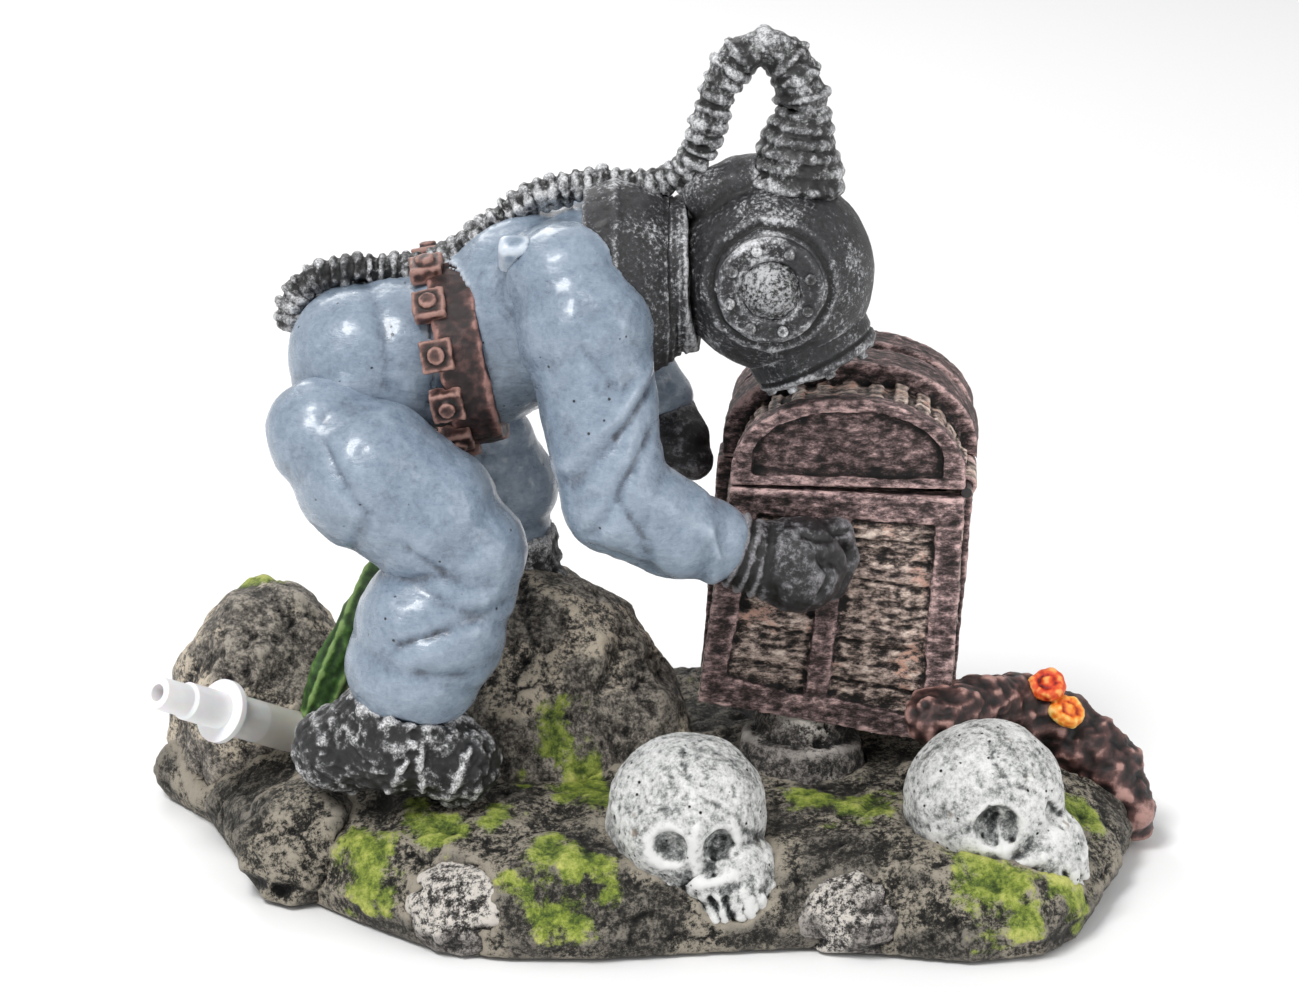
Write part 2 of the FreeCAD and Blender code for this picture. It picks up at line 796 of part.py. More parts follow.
# Stepped cone of rings that carries the hose into the helmet's crown.
CROWN_RINGS = [(7.3, 2.5), (6.7, 2.3), (6.0, 2.2), (5.3, 2.2), (4.7, 2.1), (4.2, 2.0)]
crown_axis = point("crown_axis")
crown_axis.normalize()
crown_members = []
crown_height = -size("crown_sunk")
for ring_index, (ring_radius, ring_height) in enumerate(CROWN_RINGS):
    half_height = ring_height * 0.5
    lower = Part.makeCone(ring_radius - size("crown_slope_below"), ring_radius, half_height + 0.02)
    upper = Part.makeCone(ring_radius, ring_radius - size("crown_slope_above"), half_height)
    upper.translate(Vector(0, 0, half_height))
    member = lower.fuse(upper)
    member.translate(Vector(0, 0, crown_height))
    crown_members.append(member)
    crown_height += ring_height - size("crown_overlap")
crown_shape = crown_members[0].multiFuse(crown_members[1:])
crown_raw = feature("hose_crown_raw", crown_shape)
place(crown_raw, point("crown_foot"), crown_axis)


def ribbed_hose():
    """Ribs at an even pitch along the hose's centre line, round a core."""
    centres = [ball_at("hose", index) for index in range(len(CHAINS["hose"]))]
    radii = [ball_radius("hose", index) for index in range(len(CHAINS["hose"]))]
    spine = Part.BSplineCurve()
    spine.interpolate(centres)
    marks = [spine.parameter(centre) for centre in centres]
    ribs = []
    reached = 0.6
    while reached < spine.length():
        mark = spine.parameterAtDistance(reached, spine.FirstParameter)
        span = max(i for i in range(len(marks) - 1) if marks[i] <= mark + 1e-9)
        share = (mark - marks[span]) / (marks[span + 1] - marks[span])
        radius = radii[span] + share * (radii[span + 1] - radii[span]) + size("rib_proud")
        along = spine.tangent(mark)[0]
        rib = Part.makeCylinder(radius, size("rib_width"), Vector(0, 0, -size("rib_width") / 2))
        rib.Placement = FreeCAD.Placement(spine.value(mark), turned(along))
        ribs.append(rib)
        reached += size("rib_pitch") * radius
    return ribs


hose_core = ball_chain("hose")
hose_ribs = feature("hose_ribs", Part.makeCompound(ribbed_hose()))

# ------------------------------------------------------------ treasure chest

CHEST_YAW = FreeCAD.Rotation(UP, size("chest_yaw"))
CHEST_FRAME = FreeCAD.Placement(Vector(size("chest_x"), size("chest_y"), 0), CHEST_YAW)

BOTTOM_LEFT = (size("bottom_left_x"), size("bottom_left_z"))
BOTTOM_RIGHT = (size("bottom_right_x"), size("bottom_right_z"))
RIM_RIGHT = (size("rim_right_x"), size("rim_right_z"))
RIM_LEFT = (size("rim_left_x"), size("rim_left_z"))


def between(a, b, share):
    return (a[0] + (b[0] - a[0]) * share, a[1] + (b[1] - a[1]) * share)


def quad_prism(corners, front, back):
    """Prism over a four-cornered outline in X and Z, from front to back."""
    points = [Vector(across, front, up) for across, up in corners]
    face = Part.Face(Part.makePolygon(points + points[:1]))
    return face.extrude(Vector(0, back - front, 0))


def inset(corners, side, bottom, top):
    """Outline moved in by the given widths at its sides, bottom and top."""
    bl, br, tr, tl = corners
    left_low = (bl[0] + side, bl[1] + bottom)
    right_low = (br[0] - side, br[1] + bottom)
    right_high = (tr[0] - side, tr[1] - top)
    left_high = (tl[0] + side, tl[1] - top)
    return [left_low, right_low, right_high, left_high]


CHEST_OUTLINE = [BOTTOM_LEFT, BOTTOM_RIGHT, RIM_RIGHT, RIM_LEFT]


def panel_pockets():
    """Recesses between the frame members, two on each end."""
    depth = size("chest_depth")
    recess = size("panel_recess")
    width = size("frame_width")
    tools = []
    inner = inset(CHEST_OUTLINE, width, width, width)
    middle_low = between(inner[0], inner[1], size("post_share"))
    middle_high = between(inner[3], inner[2], size("post_share"))
    half = size("post_half_width")
    left = [inner[0], (middle_low[0] - half, middle_low[1]),
            (middle_high[0] - half, middle_high[1]), inner[3]]
    right = [(middle_low[0] + half, middle_low[1]), inner[1], inner[2],
             (middle_high[0] + half, middle_high[1])]
    for corners in (left, right):
        tools.append(quad_prism(corners, -1, recess))
        tools.append(quad_prism(corners, depth - recess, depth + 1))
    return tools


def plank_strips():
    """Uneven boards that stand proud of the recessed end panels."""
    depth = size("chest_depth")
    recess = size("panel_recess")
    strips = []
    inner = inset(CHEST_OUTLINE, size("frame_width") - 0.4, size("frame_width"), size("frame_width"))
    count = int(size("plank_count"))
    for index in range(count):
        low = (index + 0.12) / count
        high = (index + 0.86) / count
        corners = [
            between(inner[0], inner[3], low),
            between(inner[1], inner[2], low),
            between(inner[1], inner[2], high),
            between(inner[0], inner[3], high),
        ]
        proud = size("plank_proud") + size("plank_uneven") * math.sin(2.4 * index)
        strips.append(quad_prism(corners, recess - proud, recess + 0.4))
        strips.append(quad_prism(corners, depth - recess - 0.4, depth - recess + proud))
    return strips


def chest_straps():
    """Straps down both long sides of the chest, flaring towards the rim."""
    start = size("strap_from_front")
    stop = start + size("strap_width")
    left = [
        (BOTTOM_LEFT[0] - 0.4, BOTTOM_LEFT[1]),
        (BOTTOM_LEFT[0] + 1.5, BOTTOM_LEFT[1]),
        (RIM_LEFT[0] + 1.5, RIM_LEFT[1]),
        (RIM_LEFT[0] - 2.6, RIM_LEFT[1]),
    ]
    right = [
        (BOTTOM_RIGHT[0] - 1.5, BOTTOM_RIGHT[1]),
        (BOTTOM_RIGHT[0] + 0.8, BOTTOM_RIGHT[1]),
        (RIM_RIGHT[0] + 1.6, RIM_RIGHT[1]),
        (RIM_RIGHT[0] - 1.5, RIM_RIGHT[1]),
    ]
    return [quad_prism(corners, start, stop) for corners in (left, right)]


HINGE_X = size("rim_right_x") + size("hinge_out")
HINGE_Z = size("rim_right_z") + size("hinge_up")
LID_KNUCKLE_STARTS = [
    size("knuckle_from_end"),
    size("chest_depth") - size("knuckle_from_end") - size("knuckle_length"),
]


def along_hinge(radius, front, back):
    """Cylinder on the hinge's line between two depths."""
    return Part.makeCylinder(radius, back - front, Vector(HINGE_X, front, HINGE_Z), Vector(0, 1, 0))


def lug(front, back, low, high):
    """Knuckle and the web that ties it to the chest's side or the lid."""
    barrel = along_hinge(size("knuckle_radius"), front, back)
    web_width = size("web_width")
    web = Part.makeBox(web_width, back - front, high - low, Vector(HINGE_X - web_width, front, low))
    return barrel.fuse(web)


def chest_body_shape():
    depth = size("chest_depth")
    outer = quad_prism(CHEST_OUTLINE, 0, depth)
    hollow_outline = inset(CHEST_OUTLINE, size("chest_wall"), size("chest_floor"), -3.0)
    end_wall = size("chest_wall") + size("hollow_setback")
    hollow = quad_prism(hollow_outline, end_wall, depth - end_wall)
    shape = outer.cut(panel_pockets()).fuse(plank_strips()).fuse(chest_straps())
    gap = size("knuckle_gap")
    beside = size("outer_knuckle_length")
    foot = HINGE_Z - size("body_web_height")
    for start in LID_KNUCKLE_STARTS:
        end = start + size("knuckle_length")
        shape = shape.fuse(lug(start - gap - beside, start - gap, foot, HINGE_Z))
        shape = shape.fuse(lug(end + gap, end + gap + beside, foot, HINGE_Z))
    pin_hole = along_hinge(size("pin_bore_radius"), -1, depth + 1)
    clear = []
    for start in LID_KNUCKLE_STARTS:
        end = start + size("knuckle_length")
        clear.append(along_hinge(size("knuckle_radius") + gap, start - gap, end + gap))
    shape = shape.cut([hollow, pin_hole] + clear)
    return shape.removeSplitter()


def arch_outline(grow, base_up):
    """Flattened arch of the lid's end: rail, then half an ellipse."""
    left = size("rim_left_x") - grow
    right = size("rim_right_x") + grow
    middle = 0.5 * (left + right)
    half = 0.5 * (right - left)
    rise = size("lid_rise") + grow
    spring = base_up + size("lid_rail")
    centre = Vector(middle, 0, spring)
    ellipse = Part.Ellipse(centre, half, rise)
    ellipse.Axis = Vector(0, -1, 0)
    ellipse.XAxis = Vector(1, 0, 0)
    edge = Part.ArcOfEllipse(ellipse, 0, math.pi).toShape()
    first = edge.Vertexes[0].Point
    last = edge.Vertexes[-1].Point
    low_last = Vector(last.x, 0, base_up)
    low_first = Vector(first.x, 0, base_up)
    rest = Part.makePolygon([last, low_last, low_first, first]).Edges
    return Part.Face(Part.Wire([edge] + rest))


def arch_prism(grow, base_up, front, back):
    face = arch_outline(grow, base_up)
    face.translate(Vector(0, front, 0))
    return face.extrude(Vector(0, back - front, 0))


LID_BASE = 0.5 * (size("rim_left_z") + size("rim_right_z")) + size("lid_gap")


def lid_shape():
    """Barrel lid: end frames, recessed boards between, two proud hoops."""
    depth = size("chest_depth")
    frame = size("lid_frame")
    board_inset = size("lid_board_inset")
    hoop_front = size("strap_from_front")
    hoop_back = hoop_front + size("strap_width")
    proud = size("hoop_proud")
    shape = arch_prism(-board_inset, LID_BASE, 0, depth)
    bands = [
        arch_prism(0, LID_BASE, 0, frame),
        arch_prism(proud, LID_BASE, hoop_front, hoop_back),
        arch_prism(proud * 0.8, LID_BASE, depth - frame - size("rear_hoop_width"), depth - frame),
        arch_prism(0, LID_BASE, depth - frame, depth),
    ]
    shape = shape.fuse(bands)
    panel_foot = LID_BASE + size("lid_panel_foot")
    recess = arch_prism(-size("lid_panel_margin"), panel_foot, -1, size("panel_recess"))
    shape = shape.cut([recess])
    boards = []
    count = int(size("lid_board_count"))
    half = 0.5 * (size("rim_right_x") - size("rim_left_x")) - board_inset
    rise = size("lid_rise") - board_inset
    middle = 0.5 * (size("rim_right_x") + size("rim_left_x"))
    wide = size("lid_board_width")
    for index in range(count):
        angle = math.pi * (index + 0.5) / count
        across = middle + half * math.cos(angle)
        up = LID_BASE + size("lid_rail") + rise * math.sin(angle)
        out = Vector(math.cos(angle) / half, 0, math.sin(angle) / rise)
        out.normalize()
        thick = size("lid_board_thickness") + size("lid_board_uneven") * math.sin(5.0 * index)
        board = Part.makeBox(wide, depth - 2 * frame + 0.8, thick, Vector(-wide / 2, 0, -0.8))
        board.Placement = FreeCAD.Placement(Vector(across, frame - 0.4, up), turned(out))
        boards.append(board)
    shape = shape.fuse(boards)
    wall = size("lid_wall") + board_inset
    hollow = arch_prism(-wall, LID_BASE - 2.0, wall, depth - wall)
    shape = shape.cut([hollow])
    gap = size("knuckle_gap")
    beside = size("outer_knuckle_length") + 2 * gap
    top = HINGE_Z + size("lid_web_height")
    clear = []
    keep = []
    for start in LID_KNUCKLE_STARTS:
        end = start + size("knuckle_length")
        shape = shape.fuse(lug(start, end, HINGE_Z, top))
        clear.append(along_hinge(size("knuckle_radius") + gap, start - beside, start))
        clear.append(along_hinge(size("knuckle_radius") + gap, end, end + beside))
        keep.append(along_hinge(size("knuckle_radius"), start, end))
    below = Part.makeBox(80, depth + 20, 20, Vector(-40, -10, LID_BASE - 20))
    pin_hole = along_hinge(size("pin_bore_radius"), -1, depth + 1)
    shape = shape.cut([below] + clear).fuse(keep).cut([pin_hole])
    return shape.removeSplitter()


chest_raw = feature("chest_body_raw", chest_body_shape())
chest_raw.Placement = CHEST_FRAME
lid_raw = feature("chest_lid_raw", lid_shape())
lid_raw.Placement = CHEST_FRAME

hinge_pin = bound("Part::Cylinder", "hinge_pin", Radius="Sizes.pin_radius",
                  Height="Sizes.chest_depth - 2")
PIN_FOOT = CHEST_FRAME.multVec(Vector(HINGE_X, 1.0, HINGE_Z))
place(hinge_pin, PIN_FOOT, CHEST_YAW.multVec(Vector(0, 1, 0)))

# ------------------------------------------------------------------ air line


def tube_path():
    """Centre line of the air tube: straight runs joined by tangent arcs."""
    axis = point("connector_axis")
    axis.normalize()
    flange = point("connector_flange")
    corners = [
        flange - axis * 1.0,
        flange - axis * 15.5,
        Vector(-36.0, 9.0, 11.2),
        Vector(10.0, 11.0, 10.6),
        Vector(35.0, 11.0, 11.2),
        Vector(35.6, 11.0, 26.0),
    ]
    bends = [16.0, 22.0, 40.0, 10.0]
    edges = []
    start = corners[0]
    for index, bend in enumerate(bends):
        before, corner, after = corners[index:index + 3]
        into = (corner - before).normalize()
        out = (after - corner).normalize()
        turn = into.getAngle(out)
        reach = bend * math.tan(turn / 2)
        first = corner - into * reach
        last = corner + out * reach
        inward = (out - into).normalize()
        middle_reach = bend * (1 / math.cos(turn / 2) - 1)
        middle = corner + inward * middle_reach
        edges.append(Part.LineSegment(start, first).toShape())
        edges.append(Part.Arc(first, middle, last).toShape())
        start = last
    edges.append(Part.LineSegment(start, corners[-1]).toShape())
    return Part.Wire(edges)


def swept_disc(path, radius):
    start = path.Edges[0].Vertexes[0].Point
    along = path.Edges[0].tangentAt(path.Edges[0].FirstParameter)
    circle = Part.Wire([Part.Circle(start, along, radius).toShape()])
    return path.makePipeShell([circle], True, False)


air_path = tube_path()
tube_full = swept_disc(air_path, size("tube_outer_radius"))
tube_bore = swept_disc(air_path, size("tube_bore_radius"))
print("air tube length %.1f mm" % air_path.Length)
air_tube_raw = feature("air_tube_raw", tube_full.cut(tube_bore))
air_tube_envelope = feature("air_tube_envelope", tube_full)


def connector_body():
    """Straight hose connector: barb stub, flange and tapered nipple."""
    body = doc.addObject("PartDesign::Body", "hose_connector_body")
    sketch = body.newObject("Sketcher::SketchObject", "connector_profile")
    plane = [item for item in body.Origin.OriginFeatures if item.Role == "XZ_Plane"][0]
    sketch.AttachmentSupport = [(plane, "")]
    sketch.MapMode = "FlatFace"
    bore = size("connector_bore_radius")
    nipple_end = size("flange_width") + size("nipple_length")
    tip_start = nipple_end - size("nipple_tip_length")
    stub = size("stub_radius") - size("stub_clearance")
    outline = [
        (bore, -size("stub_length")),
        (stub, -size("stub_length")),
        (stub, 0),
        (size("flange_radius"), 0),
        (size("flange_radius"), size("flange_width")),
        (size("nipple_root_radius"), size("flange_width")),
        (size("nipple_root_radius"), tip_start - size("nipple_taper_length")),
        (size("nipple_radius"), tip_start),
        (size("nipple_radius"), nipple_end),
        (bore, nipple_end),
    ]
    count = len(outline)
    for index in range(count):
        a = outline[index]
        b = outline[(index + 1) % count]
        sketch.addGeometry(Part.LineSegment(Vector(a[0], a[1], 0), Vector(b[0], b[1], 0)))
    for index in range(count):
        sketch.addConstraint(Sketcher.Constraint("Coincident", index, 2, (index + 1) % count, 1))
    doc.recompute()
    turned_body = body.newObject("PartDesign::Revolution", "connector_turned")
    turned_body.Profile = sketch
    turned_body.ReferenceAxis = (sketch, ["V_Axis"])
    turned_body.Angle = 360
    body.Tip = turned_body
    doc.recompute()
    return body


connector = connector_body()
place(connector, point("connector_flange"), point("connector_axis"))

# -------------------------------------------------- fitting pieces together

doc.recompute()

nodes = {}


def piece(label, base, tools=(), whole=False):
    """Name one finished sub-part, after cutting its neighbours out of it.

    A whole piece keeps only its largest solid, without loose chips.
    """
    made = cut(label, base, list(tools))
    if whole:
        doc.recompute()
        made = feature(label, max(made.Shape.Solids, key=lambda solid: solid.Volume))
    made.Label = label
    nodes[label] = made
    return made


seats = [near_seat, far_seat, front_seat]

piece("near_window_frame", near_frame)
piece("far_window_frame", far_frame)
piece("front_window_frame", front_frame)
piece("near_window_glass", near_lens)
piece("far_window_glass", far_lens)
piece("front_window_glass", front_lens)
bolts = feature("bolt_group", Part.makeCompound(near_bolts + far_bolts + front_bolts))
piece("window_bolts", bolts)
hose_all = fuse("back_hose_all", [hose_core, hose_ribs])
saddle = cut("saddle", ball_chain("saddle"), [corselet_raw, hose_core, hose_all, crown_raw])
piece("helmet", fuse("helmet_all", [helmet_raw, saddle]), seats, whole=True)
piece("corselet", corselet_raw, [helmet_raw, hose_core, hose_all])
piece("hose_crown", crown_raw, [helmet_raw])
piece("back_hose", hose_all, [helmet_raw, crown_raw])
piece("weight_belt", belt_ring, [hose_all])
piece("belt_weights", belt_weights_raw, [belt_ring, hose_all])
piece("diver_torso", torso_raw, [belt_ring, corselet_raw, helmet_raw, hose_all])
piece("diver_hips", hips_raw, [belt_ring, torso_raw, hose_all])
piece("near_arm", near_arm_raw, [torso_raw, corselet_raw, hose_all])
piece("far_arm", far_arm_raw, [torso_raw, corselet_raw, hose_all])
piece("near_leg", near_leg_raw, [hips_raw, torso_raw, belt_ring, belt_weights_raw])
piece("far_leg", far_leg_raw, [hips_raw, torso_raw, belt_ring, belt_weights_raw, near_leg_raw])
piece("near_glove", near_glove_raw, [near_arm_raw, chest_raw])
piece("far_glove", far_glove_raw, [far_arm_raw, chest_raw])
piece("near_boot", near_boot_raw, [near_leg_raw])
piece("far_boot", far_boot_raw, [far_leg_raw])
piece("shoulder_buckles", buckles_raw, [near_arm_raw, torso_raw, corselet_raw])
piece("chest_body", chest_raw, [air_tube_envelope])
piece("chest_lid", lid_raw)
piece("hinge_pin", hinge_pin)
piece("air_tube", air_tube_raw)
piece("hose_connector", connector)
piece("chest_stump", stump_raw, [chest_raw, air_tube_envelope])
piece("driftwood_root", driftwood_raw, [chest_raw, ground_cut])
for anemone_label, anemone_raw in zip(("anemone_red", "anemone_orange"), anemone_raws):
    piece(anemone_label, anemone_raw, [driftwood_raw])
piece("skull_left", skull_left_raw, [ground_cut])
piece("skull_right", skull_right_raw, [ground_cut, driftwood_raw])
piece("rear_boulder", rear_boulder_raw, [ground_cut, air_tube_envelope])
piece("front_left_rock", front_left_rock_raw, [ground_cut, near_boot_raw])
piece("front_stone_pale", pale_stone_raw, [ground_cut])
piece("front_stone_brown", right_stone_raw, [ground_cut])
piece("centre_boulder", centre_boulder_raw,
      [ground_cut, near_boot_raw, far_boot_raw, near_leg_raw, air_tube_envelope])
piece("back_rock", back_rock_raw, [ground_cut, chest_raw, centre_boulder_raw, air_tube_envelope])
piece("seaweed_frond", frond_raw,
      [near_leg_raw, near_boot_raw, rear_boulder_raw, air_tube_envelope])
piece("base_casting", base_raw, [
    near_boot_raw, stump_raw, driftwood_raw, skull_left_raw, skull_right_raw,
    rear_boulder_raw, front_left_rock_raw, pale_stone_raw, right_stone_raw,
    centre_boulder_raw, back_rock_raw, frond_raw, air_tube_envelope,
], whole=True)

doc.recompute()

# ------------------------------------------------------------ check and write

for made in doc.Objects:
    if "Invalid" in made.State or "Error" in made.State:
        raise RuntimeError("%s failed: %s" % (made.Name, made.State))

os.makedirs("parts", exist_ok=True)
for label, made in nodes.items():
    shape = made.Shape
    if shape.isNull() or not shape.isValid():
        raise RuntimeError("%s has no valid shape" % label)
    print("%s: %d solid(s), %.1f mm3" % (label, len(shape.Solids), shape.Volume))
    shape.exportStep("parts/%s.step" % label)
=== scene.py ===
import json
import math

import bpy
import numpy as np
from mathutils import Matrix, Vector


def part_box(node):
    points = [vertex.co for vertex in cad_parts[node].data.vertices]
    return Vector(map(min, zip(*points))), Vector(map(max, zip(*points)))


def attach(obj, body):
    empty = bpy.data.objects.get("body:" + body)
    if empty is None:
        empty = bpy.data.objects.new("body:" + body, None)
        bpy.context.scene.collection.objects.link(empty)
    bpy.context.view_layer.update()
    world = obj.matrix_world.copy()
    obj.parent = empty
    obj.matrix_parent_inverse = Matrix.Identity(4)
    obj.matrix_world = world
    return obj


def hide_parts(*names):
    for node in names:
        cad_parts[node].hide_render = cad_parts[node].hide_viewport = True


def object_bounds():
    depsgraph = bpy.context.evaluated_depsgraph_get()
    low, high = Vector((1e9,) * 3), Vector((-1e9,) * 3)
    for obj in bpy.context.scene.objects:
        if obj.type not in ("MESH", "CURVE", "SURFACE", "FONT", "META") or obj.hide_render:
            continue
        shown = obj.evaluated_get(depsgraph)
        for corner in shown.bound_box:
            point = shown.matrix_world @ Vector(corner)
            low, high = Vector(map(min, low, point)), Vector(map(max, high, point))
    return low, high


# Looks of the bubbling ornament. Every cast piece is a voxel copy of its CAD node,
# modelled in millimetres with folds, grain, pits and ridges. Its paint follows the
# relief. The tube, the connector and the hinge pin keep their CAD meshes.

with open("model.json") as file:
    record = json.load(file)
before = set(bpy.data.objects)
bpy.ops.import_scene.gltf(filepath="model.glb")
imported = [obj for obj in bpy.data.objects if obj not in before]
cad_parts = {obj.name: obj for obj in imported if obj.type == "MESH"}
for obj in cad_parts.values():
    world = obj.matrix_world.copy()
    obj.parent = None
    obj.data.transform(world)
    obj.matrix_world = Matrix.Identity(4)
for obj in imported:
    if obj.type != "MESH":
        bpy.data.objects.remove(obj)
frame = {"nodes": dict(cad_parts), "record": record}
cad_low, cad_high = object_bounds()

MM = 0.001
ROOT = "ornament"
HINGE = frame["record"]["behaviour"]["joints"][0]
DEPTH_AXIS = np.array(HINGE["axis"])
LOW = np.array(cad_low) / MM
SIZE = np.array(cad_high) / MM - LOW


# ------------------------------------------------------------------- noise


def hashed(cell, seed):
    """A repeatable value from 0 to 1 for each whole-numbered cell."""
    mixed = cell[:, 0] * 73856093 ^ cell[:, 1] * 19349663 ^ cell[:, 2] * 83492791
    mixed = (mixed ^ (seed * 974711 + 12345)) & 0x7FFFFFFF
    mixed = ((mixed ^ (mixed >> 15)) * 739982445) & 0x7FFFFFFF
    mixed = ((mixed ^ (mixed >> 13)) * 695872825) & 0x7FFFFFFF
    return ((mixed ^ (mixed >> 16)) & 0xFFFF) / 65535.0


def value_noise(points, seed):
    """Smooth noise from -1 to 1 with one bump per unit."""
    cell = np.floor(points).astype(np.int64)
    part = points - cell
    part = part * part * part * (part * (part * 6 - 15) + 10)
    total = np.zeros(len(points))
    for corner in range(8):
        offset = np.array([corner & 1, corner >> 1 & 1, corner >> 2])
        weight = np.prod(np.where(offset, part, 1 - part), axis=1)
        total += weight * hashed(cell + offset, seed)
    return total * 2 - 1


def layered(points, size, octaves, seed):
    """Noise in several octaves; size is the largest bump in millimetres."""
    total, height = np.zeros(len(points)), 1.0
    for octave in range(octaves):
        total += height * value_noise(points * 2**octave / size + 17.3 * octave, seed + octave)
        height *= 0.5
    return total


def ridged(points, size, octaves, seed):
    """Sharp crests with rounded hollows, from about 0 to 1."""
    total, height = np.zeros(len(points)), 0.5
    for octave in range(octaves):
        bump = value_noise(points * 2.1**octave / size + 9.1 * octave, seed + octave)
        total += height * (1 - np.abs(bump) * 2).clip(-1, 1)
        height *= 0.5
    return total * 0.5 + 0.5


def cells(points, size, seed):
    """Distances to the nearest and next nearest scattered point, in units of size."""
    scaled = points / size
    base = np.floor(scaled).astype(np.int64)
    first = np.full(len(points), 9.0)
    second = np.full(len(points), 9.0)
    for step in np.ndindex(3, 3, 3):
        cell = base + np.array(step) - 1
        spot = np.stack([hashed(cell, seed + axis) for axis in range(3)], axis=1)
        gap = np.linalg.norm(cell + spot - scaled, axis=1)
        second = np.minimum(second, np.maximum(first, gap))
        first = np.minimum(first, gap)
    return first, second


def ramp_up(value, start, stop):
    """0 below start, 1 above stop, smooth between."""
    share = ((value - start) / (stop - start)).clip(0, 1)
    return share * share * (3 - 2 * share)


def line_gap(flat, line):
    """Distance in the plane from each point to a polyline."""
    best = np.full(len(flat), 1e9)
    for start, end in zip(line[:-1], line[1:]):
        along = end - start
        share = ((flat - start) @ along / (along @ along)).clip(0, 1)
        gap = np.linalg.norm(flat - start - share[:, None] * along, axis=1)
        best = np.minimum(best, gap)
    return best


# ---------------------------------------------------------------- modelling


class Clay:
    """A voxel copy of some CAD nodes, held as arrays in millimetres."""

    def __init__(self, nodes, voxel, smooth):
        self.nodes = [nodes] if isinstance(nodes, str) else list(nodes)
        blank = bpy.data.meshes.new("clay")
        corners, faces = [], []
        for node in self.nodes:
            source = frame["nodes"][node].data
            shift = len(corners)
            corners += [tuple(vertex.co) for vertex in source.vertices]
            faces += [[shift + index for index in face.vertices] for face in source.polygons]
        blank.from_pydata(corners, [], faces)
        holder = bpy.data.objects.new("clay", blank)
        bpy.context.scene.collection.objects.link(holder)
        remesh = holder.modifiers.new("voxels", "REMESH")
        remesh.mode = "VOXEL"
        remesh.voxel_size = voxel * MM
        remesh.use_smooth_shade = True
        if smooth:
            ease = holder.modifiers.new("ease", "SMOOTH")
            ease.factor = 0.5
            ease.iterations = smooth
        graph = bpy.context.evaluated_depsgraph_get()
        self.mesh = bpy.data.meshes.new_from_object(holder.evaluated_get(graph))
        bpy.data.objects.remove(holder)
        bpy.data.meshes.remove(blank)
        self.voxel = voxel
        self.points = self.read("co") / MM
        self.normals = self.read("normal")
        self.low = self.points.min(axis=0)
        self.span = self.points.max(axis=0) - self.low
        ends = np.empty(len(self.mesh.edges) * 2, dtype=np.int32)
        self.mesh.edges.foreach_get("vertices", ends)
        self.ends = ends.reshape(-1, 2)
        self.masks = {}

    def read(self, field):
        """A vertex field as rows of three numbers."""
        values = np.empty(len(self.mesh.vertices) * 3, dtype=np.float32)
        self.mesh.vertices.foreach_get(field, values)
        return values.reshape(-1, 3).astype(np.float64)

    def mean(self, values):
        """Each point's average over its neighbours."""
        count = len(self.points)
        first, second = self.ends.T
        total = np.bincount(first, values[second], count) + np.bincount(second, values[first], count)
        number = np.bincount(first, minlength=count) + np.bincount(second, minlength=count)
        return total / np.maximum(number, 1)

    def blur(self, values, times):
        """Values smoothed over the mesh."""
        for _ in range(times):
            values = 0.4 * values + 0.6 * self.mean(values)
        return values

    def press(self, amount):
        """Moves every point along its normal by so many millimetres."""
        self.points += self.normals * amount[:, None]
        self.mesh.vertices.foreach_set("co", (self.points * MM).astype(np.float32).ravel())
        self.mesh.update()
        self.normals = self.read("normal")

    def stroke(self, line, width, height, near=True):
        """A ridge, or a groove when height is negative, on the front or the back.

        The line's points are shares of the node's width and height.
        """
        places = self.low[[0, 2]] + self.span[[0, 2]] * np.array(line)
        gap = line_gap(self.points[:, [0, 2]], places)
        facing = ramp_up(-self.normals[:, 1] if near else self.normals[:, 1], 0.0, 0.5)
        return facing * height * np.exp(-((gap / width) ** 2))

    def relief(self, gain):
        """0 in hollows, 0.5 on the flat, 1 on crests, at two scales."""
        mean = np.stack([self.mean(self.points[:, axis]) for axis in range(3)], axis=1)
        bend = ((self.points - mean) * self.normals).sum(axis=1) / self.voxel
        fine = self.blur(bend, 1)
        broad = self.blur(bend, 8)
        return (0.5 + gain * (fine * 1.4 + broad * 4.0)).clip(0, 1)

    def finish(self, name, material, body=ROOT, gain=1.0):
        """Makes the piece, with its relief and masks as attributes."""
        self.masks["relief"] = self.relief(gain)
        for mask, values in self.masks.items():
            layer = self.mesh.attributes.new(mask, "FLOAT", "POINT")
            layer.data.foreach_set("value", values.astype(np.float32))
        self.mesh.polygons.foreach_set("use_smooth", [True] * len(self.mesh.polygons))
        self.mesh.materials.clear()
        self.mesh.materials.append(material)
        self.mesh.name = name
        made = bpy.data.objects.new(name, self.mesh)
        bpy.context.scene.collection.objects.link(made)
        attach(made, body)
        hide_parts(*self.nodes)
        return made


# ---------------------------------------------------------------- materials


def colour(red, green, blue):
    """Linear colour from familiar 0-255 values."""
    return tuple((part / 255) ** 2.2 for part in (red, green, blue)) + (1.0,)


